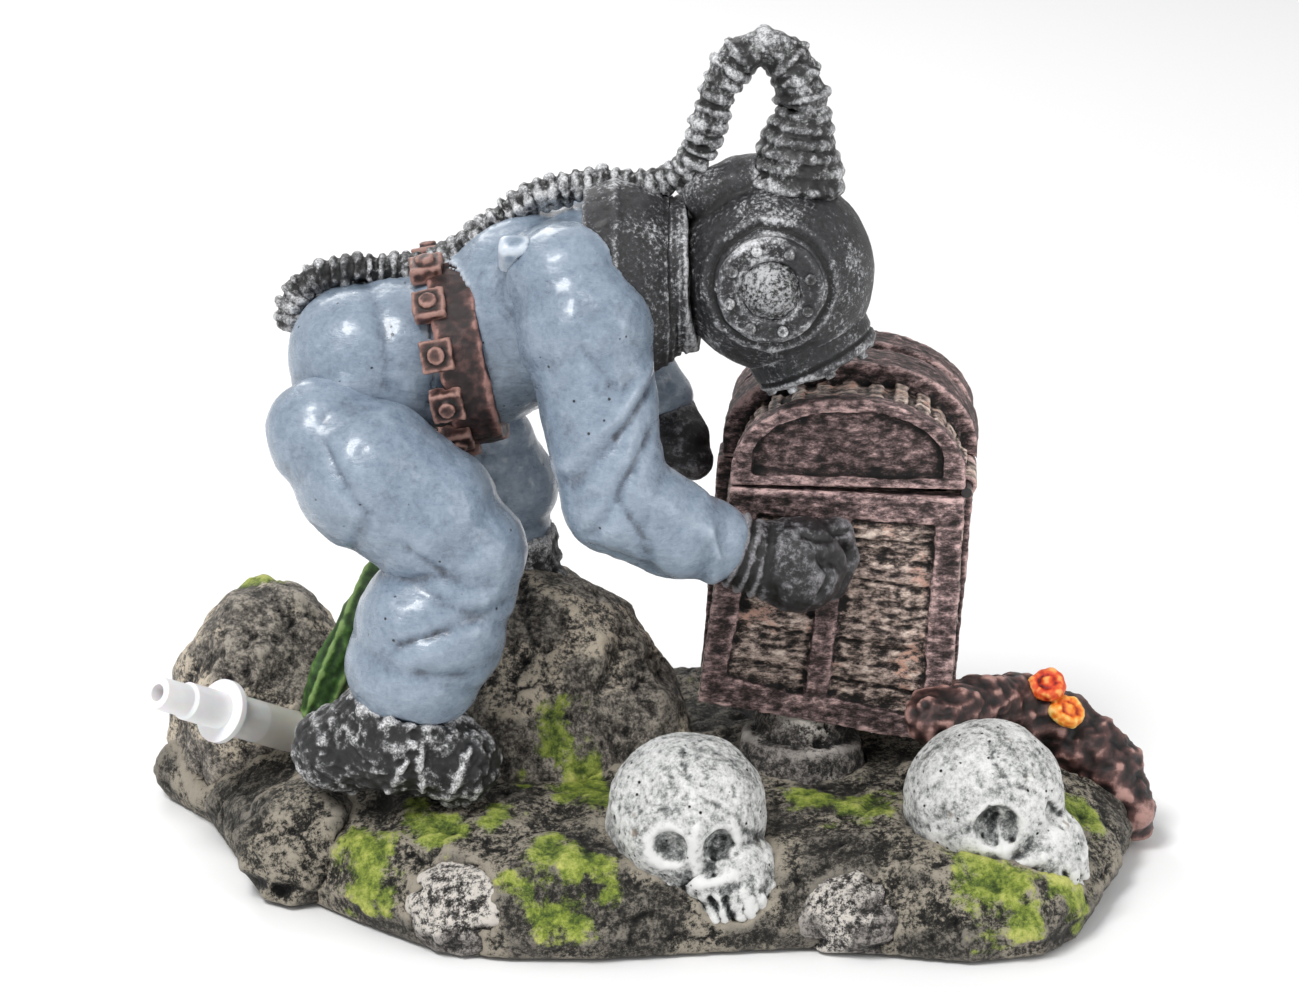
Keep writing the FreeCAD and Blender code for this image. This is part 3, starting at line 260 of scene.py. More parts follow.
class Paint:
    """A small builder for node materials."""

    def __init__(self, name, roughness=0.5, specular=0.5, coat=0.0, coat_roughness=0.2):
        self.material = bpy.data.materials.new(name)
        self.material.use_nodes = True
        self.tree = self.material.node_tree
        self.shader = self.tree.nodes["Principled BSDF"]
        self.shader.inputs["Roughness"].default_value = roughness
        self.shader.inputs["Specular IOR Level"].default_value = specular
        self.shader.inputs["Metallic"].default_value = 0.0
        self.shader.inputs["Coat Weight"].default_value = coat
        self.shader.inputs["Coat Roughness"].default_value = coat_roughness
        self.place = self.tree.nodes.new("ShaderNodeTexCoord").outputs["Object"]

    def link(self, value, socket):
        """Joins another node's output to the socket, or sets a constant on it."""
        if isinstance(value, bpy.types.NodeSocket):
            self.tree.links.new(value, socket)
        else:
            socket.default_value = value

    def mask(self, name):
        """A value stored on the piece's points."""
        node = self.tree.nodes.new("ShaderNodeAttribute")
        node.attribute_name = name
        return node.outputs["Fac"]

    def stretched(self, scale):
        """The object's coordinates, scaled by axis."""
        node = self.tree.nodes.new("ShaderNodeMapping")
        self.link(self.place, node.inputs["Vector"])
        node.inputs["Scale"].default_value = scale
        return node.outputs["Vector"]

    def noise(self, size, detail=6.0, roughness=0.6, stretch=None):
        """Noise from 0 to 1; size is its largest bump in millimetres."""
        node = self.tree.nodes.new("ShaderNodeTexNoise")
        self.link(self.stretched(stretch) if stretch else self.place, node.inputs["Vector"])
        node.inputs["Scale"].default_value = 1000.0 / size
        node.inputs["Detail"].default_value = detail
        node.inputs["Roughness"].default_value = roughness
        return node.outputs["Fac"]

    def spots(self, size):
        """Distance to the nearest of many scattered points, so many millimetres apart."""
        node = self.tree.nodes.new("ShaderNodeTexVoronoi")
        self.link(self.place, node.inputs["Vector"])
        node.inputs["Scale"].default_value = 1000.0 / size
        return node.outputs["Distance"]

    def maths(self, operation, first, second, third=0.0):
        node = self.tree.nodes.new("ShaderNodeMath")
        node.operation = operation
        node.use_clamp = False
        for value, socket in zip((first, second, third), node.inputs):
            self.link(value, socket)
        return node.outputs[0]

    def remap(self, value, low, high, out_low=0.0, out_high=1.0):
        """A smooth step between two levels."""
        node = self.tree.nodes.new("ShaderNodeMapRange")
        node.interpolation_type = "SMOOTHSTEP"
        for key, entry in zip(("Value", "From Min", "From Max", "To Min", "To Max"),
                              (value, low, high, out_low, out_high)):
            self.link(entry, node.inputs[key])
        return node.outputs["Result"]

    def shades(self, value, stops):
        """Colours along a value, as (position, colour)."""
        node = self.tree.nodes.new("ShaderNodeValToRGB")
        self.link(value, node.inputs["Fac"])
        marks = node.color_ramp.elements
        while len(marks) < len(stops):
            marks.new(0.5)
        for mark, (position, tint) in zip(marks, stops):
            mark.position = position
            mark.color = tint
        return node.outputs["Color"]

    def blend(self, share, first, second):
        node = self.tree.nodes.new("ShaderNodeMix")
        node.data_type = "RGBA"
        node.blend_type = "MIX"
        self.link(share, node.inputs["Factor"])
        self.link(first, node.inputs["A"])
        self.link(second, node.inputs["B"])
        return node.outputs["Result"]

    def done(self, tint, roughness=None, bump=None, depth=0.1, strength=0.6):
        """Connects colour, roughness and a bump whose depth is in millimetres."""
        self.link(tint, self.shader.inputs["Base Color"])
        if roughness is not None:
            self.link(roughness, self.shader.inputs["Roughness"])
        if bump is not None:
            node = self.tree.nodes.new("ShaderNodeBump")
            node.inputs["Strength"].default_value = strength
            node.inputs["Distance"].default_value = depth * MM
            self.link(bump, node.inputs["Height"])
            self.link(node.outputs["Normal"], self.shader.inputs["Normal"])
        return self.material


def suit_paint():
    """Glossy steel-blue paint with painted shade in the folds, a painted sheen on the crests, pinholes
    darkened as painted shade, and brush marks.
    """
    paint = Paint("suit_paint", specular=0.6, coat=0.45, coat_roughness=0.16)
    relief = paint.mask("relief")
    cloud = paint.noise(9.0, 5.0)
    fine = paint.noise(0.8, 6.0, 0.7)
    streak = paint.noise(2.4, 5.0, 0.65, (1.0, 1.0, 3.0))
    # The relief sets painted shade in the folds and a painted sheen on the crests.
    tone = paint.maths("ADD", relief, paint.maths("MULTIPLY_ADD", cloud, 0.30, -0.15))
    tone = paint.maths("ADD", tone, paint.maths("MULTIPLY_ADD", fine, 0.50, -0.25))
    tint = paint.shades(tone, [
        (0.14, colour(38, 43, 51)), (0.34, colour(86, 97, 112)),
        (0.50, colour(118, 133, 150)), (0.72, colour(148, 162, 178)), (0.95, colour(196, 206, 217)),
    ])
    # Pinholes: dents in the bump, coloured near-black as painted shade inside them.
    pin = paint.remap(paint.spots(1.9), 0.08, 0.14)
    chosen = paint.remap(paint.noise(5.0, 2.0), 0.55, 0.60)
    pit_shade = paint.maths("MULTIPLY", paint.maths("SUBTRACT", 1.0, pin), chosen)
    tint = paint.blend(pit_shade, tint, colour(24, 28, 33))
    grime = paint.remap(paint.noise(3.2, 6.0, 0.7), 0.56, 0.76, 0.0, 0.5)
    tint = paint.blend(grime, tint, colour(88, 101, 114))
    rough = paint.remap(streak, 0.3, 0.7, 0.22, 0.48)
    height = paint.maths("SUBTRACT", paint.maths("MULTIPLY_ADD", fine, 0.35, streak), pit_shade)
    return paint.done(tint, rough, height, 0.22, 0.7)


def blackened_paint(name, dark, light, silver, size, amount, crest, gloss=0.42):
    """Near-black paint with silver brushed on the crests and in fine specks.

    A lower crest level brushes more of the relief, and a lower amount leaves more specks.
    """
    paint = Paint(name, specular=0.5, coat=0.08)
    relief = paint.mask("relief")
    speck = paint.noise(size, 8.0, 0.8)
    drift = paint.noise(7.0, 4.0)
    tone = paint.maths("ADD", relief, paint.maths("MULTIPLY_ADD", speck, 1.8, -0.90))
    tint = paint.shades(tone, [(0.30, dark), (0.70, light)])
    wear = paint.maths("MULTIPLY_ADD", drift, 0.40, paint.maths("MULTIPLY", relief, 0.2))
    fleck = paint.remap(paint.maths("ADD", speck, wear), amount + 0.24, amount + 0.38)
    tint = paint.blend(paint.maths("MULTIPLY", fleck, 0.55), tint, silver)
    patchy = paint.maths("MULTIPLY_ADD", speck, 0.9, paint.maths("MULTIPLY_ADD", drift, 0.9, -0.90))
    brushed = paint.remap(paint.maths("ADD", relief, patchy), crest, crest + 0.42)
    grit = paint.remap(paint.noise(0.35, 2.0, 0.8), 0.40, 0.62, 0.35, 1.0)
    brushed = paint.maths("MULTIPLY", brushed, grit)
    tint = paint.blend(paint.maths("MULTIPLY", brushed, 0.9), tint, silver)
    paint.link(paint.maths("MULTIPLY", brushed, 0.4), paint.shader.inputs["Metallic"])
    rough = paint.remap(speck, 0.35, 0.7, gloss, gloss + 0.25)
    height = paint.maths("MULTIPLY_ADD", speck, 1.0, drift)
    return paint.done(tint, rough, height, 0.22, 0.8)


def rock_paint(name, dark, mid, crest, wear_and_light_tint, wear_and_light_amount):
    """Dark gritty stone with tan ridges, pale patches that are partly wear and partly painted light,
    and painted moss.
    """
    paint = Paint(name, specular=0.3)
    relief = paint.mask("relief")
    coarse = paint.noise(6.0, 6.0, 0.7)
    grit = paint.noise(0.75, 8.0, 0.85)
    tone = paint.maths("MULTIPLY_ADD", relief, 0.75, paint.maths("MULTIPLY_ADD", grit, 2.4, -1.02))
    tone = paint.maths("ADD", tone, paint.maths("MULTIPLY_ADD", coarse, 0.5, -0.26))
    tint = paint.shades(tone, [(0.26, dark), (0.56, mid), (0.88, crest)])
    # Pale patches on the brighter tones: partly wear, partly painted light on the lit faces.
    wear_and_painted_light = paint.maths("MULTIPLY", paint.mask("wear_and_painted_light"),
                       paint.remap(tone, 0.48, 0.74, 0.0, wear_and_light_amount))
    tint = paint.blend(wear_and_painted_light, tint, wear_and_light_tint)
    fleck = paint.remap(paint.noise(0.4, 2.0, 0.8), 0.66, 0.74, 0.0, 0.6)
    tint = paint.blend(fleck, tint, crest)
    growth = paint.maths("ADD", paint.mask("moss"),
                         paint.maths("MULTIPLY_ADD", paint.noise(2.2, 8.0, 0.85), 2.2, -1.15))
    green = paint.shades(paint.maths("MULTIPLY_ADD", grit, 0.8, paint.maths("MULTIPLY", relief, 0.4)), [
        (0.42, colour(30, 38, 22)), (0.54, colour(86, 106, 50)),
        (0.66, colour(150, 168, 66)), (0.84, colour(222, 222, 122)),
    ])
    tint = paint.blend(paint.remap(growth, 0.45, 0.85, 0.0, 0.9), tint, green)
    rough = paint.remap(grit, 0.3, 0.7, 0.48, 0.85)
    height = paint.maths("MULTIPLY_ADD", grit, 1.2, coarse)
    return paint.done(tint, rough, height, 0.45, 0.9)


def bone_paint():
    """Chalky white skulls, speckled grey, with black pinholes painted as shade in the pits, and brown
    chips.
    """
    paint = Paint("bone_paint", specular=0.3)
    relief = paint.mask("relief")
    grit = paint.noise(0.9, 8.0, 0.85)
    cloud = paint.noise(6.0, 4.0, 0.6)
    tone = paint.maths("MULTIPLY_ADD", relief, 1.1, paint.maths("MULTIPLY_ADD", grit, 2.0, -0.98))
    tone = paint.maths("ADD", tone, paint.maths("MULTIPLY_ADD", cloud, 0.8, -0.40))
    tint = paint.shades(tone, [
        (0.08, colour(26, 27, 27)), (0.30, colour(92, 94, 94)), (0.48, colour(150, 152, 150)),
        (0.62, colour(206, 207, 205)), (0.90, colour(242, 242, 240)),
    ])
    # Pinholes: dents in the bump, coloured black as painted shade inside them.
    pin = paint.remap(paint.spots(1.5), 0.10, 0.20)
    chosen = paint.remap(paint.noise(3.0, 2.0), 0.50, 0.56)
    pit_shade = paint.maths("MULTIPLY", paint.maths("SUBTRACT", 1.0, pin), chosen)
    tint = paint.blend(pit_shade, tint, colour(18, 18, 18))
    chip = paint.remap(paint.noise(4.6, 3.0), 0.66, 0.72, 0.0, 0.6)
    tint = paint.blend(chip, tint, colour(126, 104, 84))
    height = paint.maths("SUBTRACT", grit, pit_shade)
    return paint.done(tint, paint.remap(grit, 0.3, 0.7, 0.5, 0.85), height, 0.4, 0.9)


def wood_paint(name):
    """Worn chest boards: pink-brown brushed frames and tan planks over near-black."""
    paint = Paint(name, specular=0.35)
    relief = paint.mask("relief")
    grain = paint.noise(0.9, 8.0, 0.8, (0.45, 1.0, 1.0))
    blotch = paint.noise(5.0, 4.0)
    tone = paint.maths("ADD", relief, paint.maths("MULTIPLY_ADD", grain, 2.5, -1.22))
    tone = paint.maths("ADD", tone, paint.maths("MULTIPLY_ADD", blotch, 0.4, -0.20))
    tint = paint.shades(tone, [
        (0.22, colour(15, 12, 12)), (0.46, colour(62, 51, 50)),
        (0.68, colour(122, 102, 101)), (1.0, colour(222, 188, 184)),
    ])
    tan = paint.shades(tone, [
        (0.28, colour(18, 15, 14)), (0.46, colour(88, 77, 72)),
        (0.66, colour(174, 154, 144)), (0.92, colour(240, 222, 208)),
    ])
    warm = paint.remap(blotch, 0.54, 0.64, 0.0, 0.8)
    warm = paint.maths("MULTIPLY", warm, paint.remap(tone, 0.5, 0.7))
    tan = paint.blend(warm, tan, colour(206, 156, 136))
    tint = paint.blend(paint.mask("plank"), tint, tan)
    dust = paint.remap(paint.noise(0.45, 2.0, 0.8), 0.66, 0.76, 0.0, 0.4)
    tint = paint.blend(dust, tint, colour(150, 130, 126))
    return paint.done(tint, paint.remap(grain, 0.3, 0.7, 0.45, 0.8), grain, 0.35, 0.9)


def plain_cast_paint(name, stops, size, rough=(0.35, 0.6), depth=0.2):
    """Brushed paint in a few shades that follow the relief."""
    paint = Paint(name, specular=0.45)
    fine = paint.noise(size, 8.0, 0.8)
    tone = paint.maths("ADD", paint.mask("relief"), paint.maths("MULTIPLY_ADD", fine, 0.8, -0.40))
    tint = paint.shades(tone, stops)
    return paint.done(tint, paint.remap(fine, 0.3, 0.7, *rough), fine, depth, 0.8)


# The connector, in millimetres: nipple mount to flange, and where its stub's colour fades out.
NIPPLE_TO_FLANGE = 11.3
STUB_FADE = (7.2, 6.6)


def clear_plastic(name, tint, through, rough, stub=False):
    """Milky moulded plastic; the connector's white stub shows through the tube's end."""
    paint = Paint(name, roughness=rough, specular=0.5, coat=0.2)
    haze = paint.noise(3.0, 3.0)
    shade = paint.blend(paint.remap(haze, 0.3, 0.7, 0.0, 0.35), tint,
                        tuple(part * 0.86 for part in tint[:3]) + (1.0,))
    if stub:
        nipple = frame["record"]["mounts"][1]
        node = paint.tree.nodes.new("ShaderNodeVectorMath")
        node.operation = "DOT_PRODUCT"
        paint.link(paint.place, node.inputs[0])
        node.inputs[1].default_value = nipple["axis"]
        flange = Vector(nipple["pos_m"]).dot(Vector(nipple["axis"])) - NIPPLE_TO_FLANGE * MM
        start, stop = flange - STUB_FADE[0] * MM, flange - STUB_FADE[1] * MM
        covered = paint.remap(node.outputs["Value"], start, stop)
        shade = paint.blend(covered, shade, colour(238, 238, 234))
    paint.shader.inputs["Transmission Weight"].default_value = through
    paint.shader.inputs["Subsurface Weight"].default_value = 0.35
    paint.shader.inputs["Subsurface Scale"].default_value = 1.2 * MM
    return paint.done(shade, paint.remap(haze, 0.3, 0.7, rough, rough + 0.12), haze, 0.03, 0.3)


SUIT = suit_paint()
BLACK_SILVER = blackened_paint("black_silver", colour(5, 5, 6), colour(54, 54, 57),
                               colour(226, 227, 230), 0.6, 0.60, 0.56)
HOSE_SILVER = blackened_paint("hose_silver", colour(4, 4, 5), colour(46, 46, 48),
                              colour(232, 233, 235), 0.8, 0.60, 0.44)
GLASS_SILVER = blackened_paint("glass_silver", colour(6, 6, 7), colour(42, 42, 44),
                               colour(220, 221, 223), 0.55, 0.50, 0.50)
BOOT_BLACK = blackened_paint("boot_black", colour(5, 5, 5), colour(42, 42, 44),
                             colour(232, 232, 233), 0.7, 0.66, 0.52)
GLOVE_BLACK = blackened_paint("glove_black", colour(5, 5, 6), colour(42, 41, 43),
                              colour(150, 148, 152), 0.9, 0.60, 0.54, 0.36)
ROCK = rock_paint("rock", colour(13, 13, 13), colour(56, 54, 50), colour(140, 134, 124),
                  colour(192, 182, 164), 0.6)
TAN_ROCK = rock_paint("tan_rock", colour(17, 16, 16), colour(100, 95, 89), colour(188, 179, 166),
                      colour(224, 210, 188), 0.9)
CREAM_ROCK = rock_paint("cream_rock", colour(16, 15, 15), colour(78, 75, 73), colour(176, 169, 163),
                        colour(236, 229, 220), 0.9)
BONE = bone_paint()
CHEST = wood_paint("chest_wood")
ROOT_WOOD = plain_cast_paint("driftwood", [
    (0.26, colour(10, 8, 8)), (0.54, colour(46, 32, 31)), (0.76, colour(88, 62, 59)),
    (1.0, colour(172, 134, 126)),
], 1.2)
BELT = plain_cast_paint("belt_leather", [
    (0.22, colour(14, 10, 10)), (0.52, colour(46, 34, 34)), (0.78, colour(92, 66, 62)),
    (0.98, colour(160, 120, 112)),
], 1.0)
COPPER = plain_cast_paint("belt_copper", [
    (0.22, colour(16, 11, 10)), (0.50, colour(56, 40, 37)), (0.74, colour(100, 72, 66)),
    (1.0, colour(160, 124, 114)),
], 0.9, (0.3, 0.5))
RED = plain_cast_paint("anemone_red", [
    (0.20, colour(96, 14, 6)), (0.50, colour(206, 52, 22)), (0.75, colour(232, 96, 44)),
    (0.98, colour(248, 170, 92)),
], 0.9, (0.3, 0.5))
ORANGE = plain_cast_paint("anemone_orange", [
    (0.20, colour(140, 40, 6)), (0.50, colour(226, 104, 30)), (0.75, colour(242, 158, 62)),
    (0.98, colour(252, 212, 128)),
], 0.9, (0.3, 0.5))
GREEN = plain_cast_paint("frond_green", [
    (0.20, colour(10, 20, 7)), (0.48, colour(36, 64, 24)), (0.72, colour(66, 100, 44)),
    (0.98, colour(128, 156, 92)),
], 1.2, (0.3, 0.5))
TUBE = clear_plastic("tube_plastic", colour(222, 220, 210), 0.30, 0.28, True)
NIPPLE = clear_plastic("connector_plastic", colour(250, 250, 251), 0.10, 0.3)
STEEL = plain_cast_paint("pin_steel", [
    (0.1, colour(44, 42, 41)), (0.6, colour(84, 81, 79)), (1.0, colour(132, 128, 124)),
], 0.8, (0.25, 0.4), 0.02)


# ------------------------------------------------------------- cast pieces


def swell(clay, amount):
    """Even growth in millimetres, so that neighbouring castings run into each other."""
    return np.full(len(clay.points), amount)


def cloth(node, seed, folds=(), lean=(0.8, 0.3, 0.6), drape=0.32):
    """Suit fabric: soft swells, slanting drapery and listed folds."""
    clay = Clay(node, 0.45, 6)
    lean = np.array(lean) / np.linalg.norm(lean)
    along = clay.points @ lean
    warped = clay.points + 1.5 * layered(clay.points, 12, 2, seed)[:, None]
    squeezed = warped - (along * 0.72)[:, None] * lean
    amount = swell(clay, 0.15)
    amount += 0.30 * layered(clay.points, 12, 3, seed + 3)
    amount += drape * (ridged(squeezed, 9, 2, seed + 7) - 0.6)
    for line, width, height in folds:
        amount += clay.stroke(line, width * 1.5, height * 0.75)
        amount += clay.stroke(line[:-1], width * 0.5, height * 0.35)
        amount += clay.stroke(line, width * 1.3, height * 0.5, near=False)
    clay.press(amount)
    shifted = clay.points + 0.6 * layered(clay.points, 3, 2, seed + 13)[:, None]
    facet = ridged(shifted, 4.0, 2, seed + 15) - 0.6
    clay.press(0.12 * layered(clay.points, 3.0, 3, seed + 11) + 0.14 * facet)
    return clay.finish(node + "_sculpt", SUIT, gain=0.6)


def moss_mask(points, normals):
    """Painted moss on upward faces of the base.

    Each patch is its share of the width and depth, and its reach in millimetres.
    """
    patches = [
        (0.235, 0.150, 10.0), (0.300, 0.190, 8.0), (0.360, 0.220, 6.5), (0.440, 0.330, 10.0),
        (0.420, 0.080, 10.0), (0.640, 0.300, 8.0), (0.700, 0.260, 10.0), (0.820, 0.060, 11.0),
        (0.885, 0.110, 9.0), (0.910, 0.320, 8.0), (0.600, 0.880, 10.0), (0.300, 0.860, 9.0),
        (0.860, 0.700, 9.0), (0.100, 0.780, 7.0),
    ]
    total = np.zeros(len(points))
    edge = layered(points, 5, 4, 61) * 0.45
    for across, deep, reach in patches:
        place = LOW[:2] + SIZE[:2] * np.array([across, deep])
        gap = np.linalg.norm(points[:, :2] - place, axis=1) / reach
        total = np.maximum(total, ramp_up(-(gap + edge), -1.2, -0.2))
    return total * ramp_up(normals[:, 2], -0.45, 0.05)


def stone(node, material, seed, voxel=0.55, rugged=1.0, mossy=True):
    """Rock: broad facets, ridges, cracks and pits, with lumpy moss on ledges."""
    clay = Clay(node, voxel, 5)
    rim = ramp_up(clay.points[:, 2], 0.4, 3.0)
    amount = swell(clay, 0.25)
    amount += rugged * 0.9 * (ridged(clay.points, 15, 3, seed) - 0.62)
    amount += rugged * 0.75 * layered(clay.points, 7, 4, seed + 5)
    clay.press(amount * rim)
    near, far = cells(clay.points + 0.9 * layered(clay.points, 4, 2, seed + 9)[:, None], 8.5, seed)
    crack = 1 - ramp_up(far - near, 0.02, 0.10)
    pit, _ = cells(clay.points + 0.5 * layered(clay.points, 2, 2, seed + 11)[:, None], 2.6, seed + 13)
    chosen = ramp_up(layered(clay.points, 6, 2, seed + 15), -0.1, 0.3)
    amount = -0.35 * rugged * crack * chosen - 0.40 * (1 - ramp_up(pit, 0.12, 0.42)) * chosen
    amount += 0.14 * layered(clay.points, 1.6, 2, seed + 17)
    moss = moss_mask(clay.points, clay.normals) if mossy else np.zeros(len(clay.points))
    bud, _ = cells(clay.points, 1.7, seed + 21)
    amount = amount * (1 - 0.6 * moss) + moss * (0.35 + 0.55 * (0.7 - bud))
    clay.press(amount * rim)
    clay.masks["moss"] = moss
    # Pale patches: random wear, plus painted light on faces that point up and to the left, towards the
    # key light.
    patch = layered(clay.points, 9, 3, seed + 25) + 0.45 * clay.normals[:, 2] - 0.3 * clay.normals[:, 0]
    clay.masks["wear_and_painted_light"] = ramp_up(patch, 0.0, 0.45)
    return clay.finish(node + "_sculpt", material, gain=0.8)


def skull(node, seed):
    """Worn skull lying on its jaw: temple, cheek bone, cracks, pits and teeth."""
    clay = Clay(node, 0.36, 3)
    rim = ramp_up(clay.points[:, 2], 0.4, 2.0)
    amount = swell(clay, 0.1) + 0.45 * layered(clay.points, 8, 3, seed)
    share = (clay.points - clay.low) / clay.span
    front = ramp_up(-clay.normals[:, 1], -0.2, 0.3)
    jaw = ramp_up(share[:, 0], 0.42, 0.56) * (1 - ramp_up(share[:, 2], 0.28, 0.36)) * front
    wave = clay.points[:, 0] + 0.35 * clay.points[:, 2] + 0.3 * layered(clay.points, 2, 2, seed + 2)
    tooth = np.abs(np.sin(math.pi * wave / 2.0)) ** 0.5
    row = 1 - np.exp(-(((share[:, 2] - 0.15) * clay.span[2] / 0.5) ** 2))
    amount += jaw * (0.9 * tooth * row - 0.55)
    amount += clay.stroke([(0.04, 0.36), (0.30, 0.33), (0.55, 0.36), (0.72, 0.42)], 0.9, 0.9)
    amount += clay.stroke([(0.06, 0.27), (0.34, 0.22), (0.58, 0.26)], 1.2, -1.1)
    amount += clay.stroke([(0.26, 0.12), (0.32, 0.08)], 1.4, -0.9)
    amount += clay.stroke([(0.51, 0.66), (0.50, 0.52), (0.53, 0.40)], 1.1, 0.7)
    amount += clay.stroke([(0.56, 0.80), (0.64, 0.77), (0.74, 0.70), (0.80, 0.60)], 0.4, -0.22)
    amount += clay.stroke([(0.44, 0.97), (0.46, 0.90), (0.55, 0.81)], 0.4, -0.2)
    amount += clay.stroke([(0.80, 0.60), (0.90, 0.52), (0.96, 0.44)], 0.6, -0.3)
    amount += clay.stroke([(0.10, 0.72), (0.24, 0.84), (0.36, 0.88)], 1.3, -0.5)
    clay.press(amount * rim)
    pit, _ = cells(clay.points + 0.4 * layered(clay.points, 2, 2, seed + 4)[:, None], 2.4, seed + 3)
    small, _ = cells(clay.points, 1.2, seed + 6)
    chosen = ramp_up(layered(clay.points, 5, 2, seed + 9), -0.1, 0.3)
    low = 1 - ramp_up(share[:, 2], 0.25, 0.5)
    amount = -0.30 * chosen * (1 - ramp_up(pit, 0.08, 0.34)) - 0.12 * (1 - ramp_up(small, 0.1, 0.4))
    amount += low * 0.35 * layered(clay.points, 2.4, 3, seed + 12)
    clay.press((amount + 0.10 * layered(clay.points, 1.6, 2, seed + 8)) * rim)
    return clay.finish(node + "_sculpt", BONE, gain=0.8)


def cast(node, material, seed, voxel=0.4, smooth=3, grow=0.12, swells=0.2, grain=0.08, size=7.0,
         gain=1.0):
    """A plainly modelled casting with uneven walls.

    It grows by grow, with swells of a given size and a finer grain, all in millimetres.
    """
    clay = Clay(node, voxel, smooth)
    amount = swell(clay, grow) + swells * layered(clay.points, size, 3, seed)
    amount += grain * layered(clay.points, 1.4, 3, seed + 5)
    clay.press(amount)
    return clay.finish(node + "_sculpt", material, gain=gain)


def middle(node):
    """Middle of a node's box, in millimetres."""
    low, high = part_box(node)
    return np.array((low + high) / 2) / MM


HELMET_MIDDLE = (middle("near_window_frame") + middle("far_window_frame")) / 2


def window_axis(side):
    """Outward direction of a helmet window."""
    axis = middle(side + "_window_frame") - HELMET_MIDDLE
    return axis / np.linalg.norm(axis)


def rings(gap, places, width, height):
    """Concentric ridges, or grooves when the height is negative, at some radii."""
    return sum(height * np.exp(-(((gap - place) / width) ** 2)) for place in places)


def helmet(seed):
    """Spun copper dome with a worked groove round each side window."""
    clay = Clay("helmet", 0.38, 2)
    amount = 0.22 * layered(clay.points, 7, 3, seed) + 0.05 * layered(clay.points, 1.4, 3, seed + 5)
    outward = clay.points - HELMET_MIDDLE
    for side in ("near", "far"):
        axis = window_axis(side)
        along = outward @ axis
        gap = np.linalg.norm(outward - along[:, None] * axis, axis=1)
        front = ramp_up(along, 2.0, 4.0)
        wobble = gap + 0.25 * layered(clay.points, 4, 2, seed + 2)
        amount += front * (rings(wobble, (8.6,), 0.35, -0.45) + rings(wobble, (9.5,), 0.5, 0.25))
    clay.press(amount)
    return clay.finish("helmet_sculpt", BLACK_SILVER, gain=0.6)


def corselet(seed):
    """Breastplate with a rolled rim and fine striations below the neck ring."""
    clay = Clay("corselet", 0.38, 2)
    amount = 0.05 + 0.30 * layered(clay.points, 7, 3, seed)
    amount = amount + 0.08 * layered(clay.points, 1.4, 3, seed + 5)
    from_neck = clay.low[0] + clay.span[0] - clay.points[:, 0]
    from_neck = from_neck + 0.2 * layered(clay.points, 6, 2, seed + 1)
    amount += rings(from_neck, (2.6, 3.6, 4.6, 5.5), 0.24, 0.30)
    amount += rings(from_neck, (13.0,), 0.7, 0.35)
    clay.press(amount)
    return clay.finish("corselet_sculpt", BLACK_SILVER, gain=0.6)


def window_frame(side, seed):
    """Cast frame; the front one has a groove round its side."""
    clay = Clay(side + "_window_frame", 0.25, 1)
    amount = 0.05 + 0.10 * layered(clay.points, 3, 3, seed)
    amount = amount + 0.05 * layered(clay.points, 1.2, 2, seed + 5)
    if side == "front":
        along = (clay.points - HELMET_MIDDLE) @ window_axis(side)
        amount += rings(along - along.max(), (-1.9,), 0.3, -0.4)
    clay.press(amount)
    return clay.finish(side + "_window_frame_sculpt", BLACK_SILVER, gain=0.8)


def boot(node, seed):
    """Crumpled gaiter over a heavy boot, with three fan-shaped bars."""
    clay = Clay(node, 0.4, 4)
    amount = swell(clay, 0.2)
    warped = clay.points + 1.2 * layered(clay.points, 5, 2, seed)[:, None]
    crags = ridged(warped, 3.0, 3, seed + 4) - 0.6
    amount += 1.0 * (ridged(warped, 6.0, 3, seed + 2) - 0.6) + 0.9 * crags
    amount += 0.35 * layered(clay.points, 2.0, 3, seed + 5)
    if node == "near_boot":
        for foot, head in ((0.47, 0.56), (0.64, 0.62), (0.78, 0.86)):
            bar = clay.stroke([(foot, 0.26), (head, 0.58)], 0.55, 1.1)
            amount += bar * ramp_up(layered(clay.points, 1.5, 2, seed + 6), -0.9, 0.1)
        amount += clay.stroke([(0.02, 0.12), (0.5, 0.06), (0.98, 0.14)], 0.5, -0.6)
    clay.press(amount)
    clay.press(0.16 * layered(clay.points, 1.3, 3, seed + 7))
    return clay.finish(node + "_sculpt", BOOT_BLACK, gain=0.6)


def glove(node, seed):
    """Leather glove: ringed cuff, a full palm and finger grooves."""
    clay = Clay(node, 0.35, 4)
    share = (clay.points - clay.low) / clay.span
    amount = swell(clay, 0.05) + 0.2 * layered(clay.points, 5, 3, seed)
    if node == "near_glove":
        ring = np.sin(2 * math.pi * (clay.points[:, 0] - 0.35 * clay.points[:, 2]) / 2.1)
        amount += 0.38 * ring * (1 - ramp_up(share[:, 0], 0.30, 0.40))
        amount += clay.stroke([(0.44, 0.94), (0.40, 0.5), (0.46, 0.14)], 0.8, -0.6)
        amount += clay.stroke([(0.80, 0.62), (0.92, 0.55)], 1.3, -1.6)
        amount += clay.stroke([(0.74, 0.70), (0.80, 0.48), (0.74, 0.28)], 0.7, -0.8)
        amount += clay.stroke([(0.62, 0.88), (0.80, 0.80), (0.97, 0.82)], 0.5, -0.6)
    clay.press(amount)
    clay.press(0.12 * layered(clay.points, 1.6, 3, seed + 5))
    return clay.finish(node + "_sculpt", GLOVE_BLACK, gain=0.8)


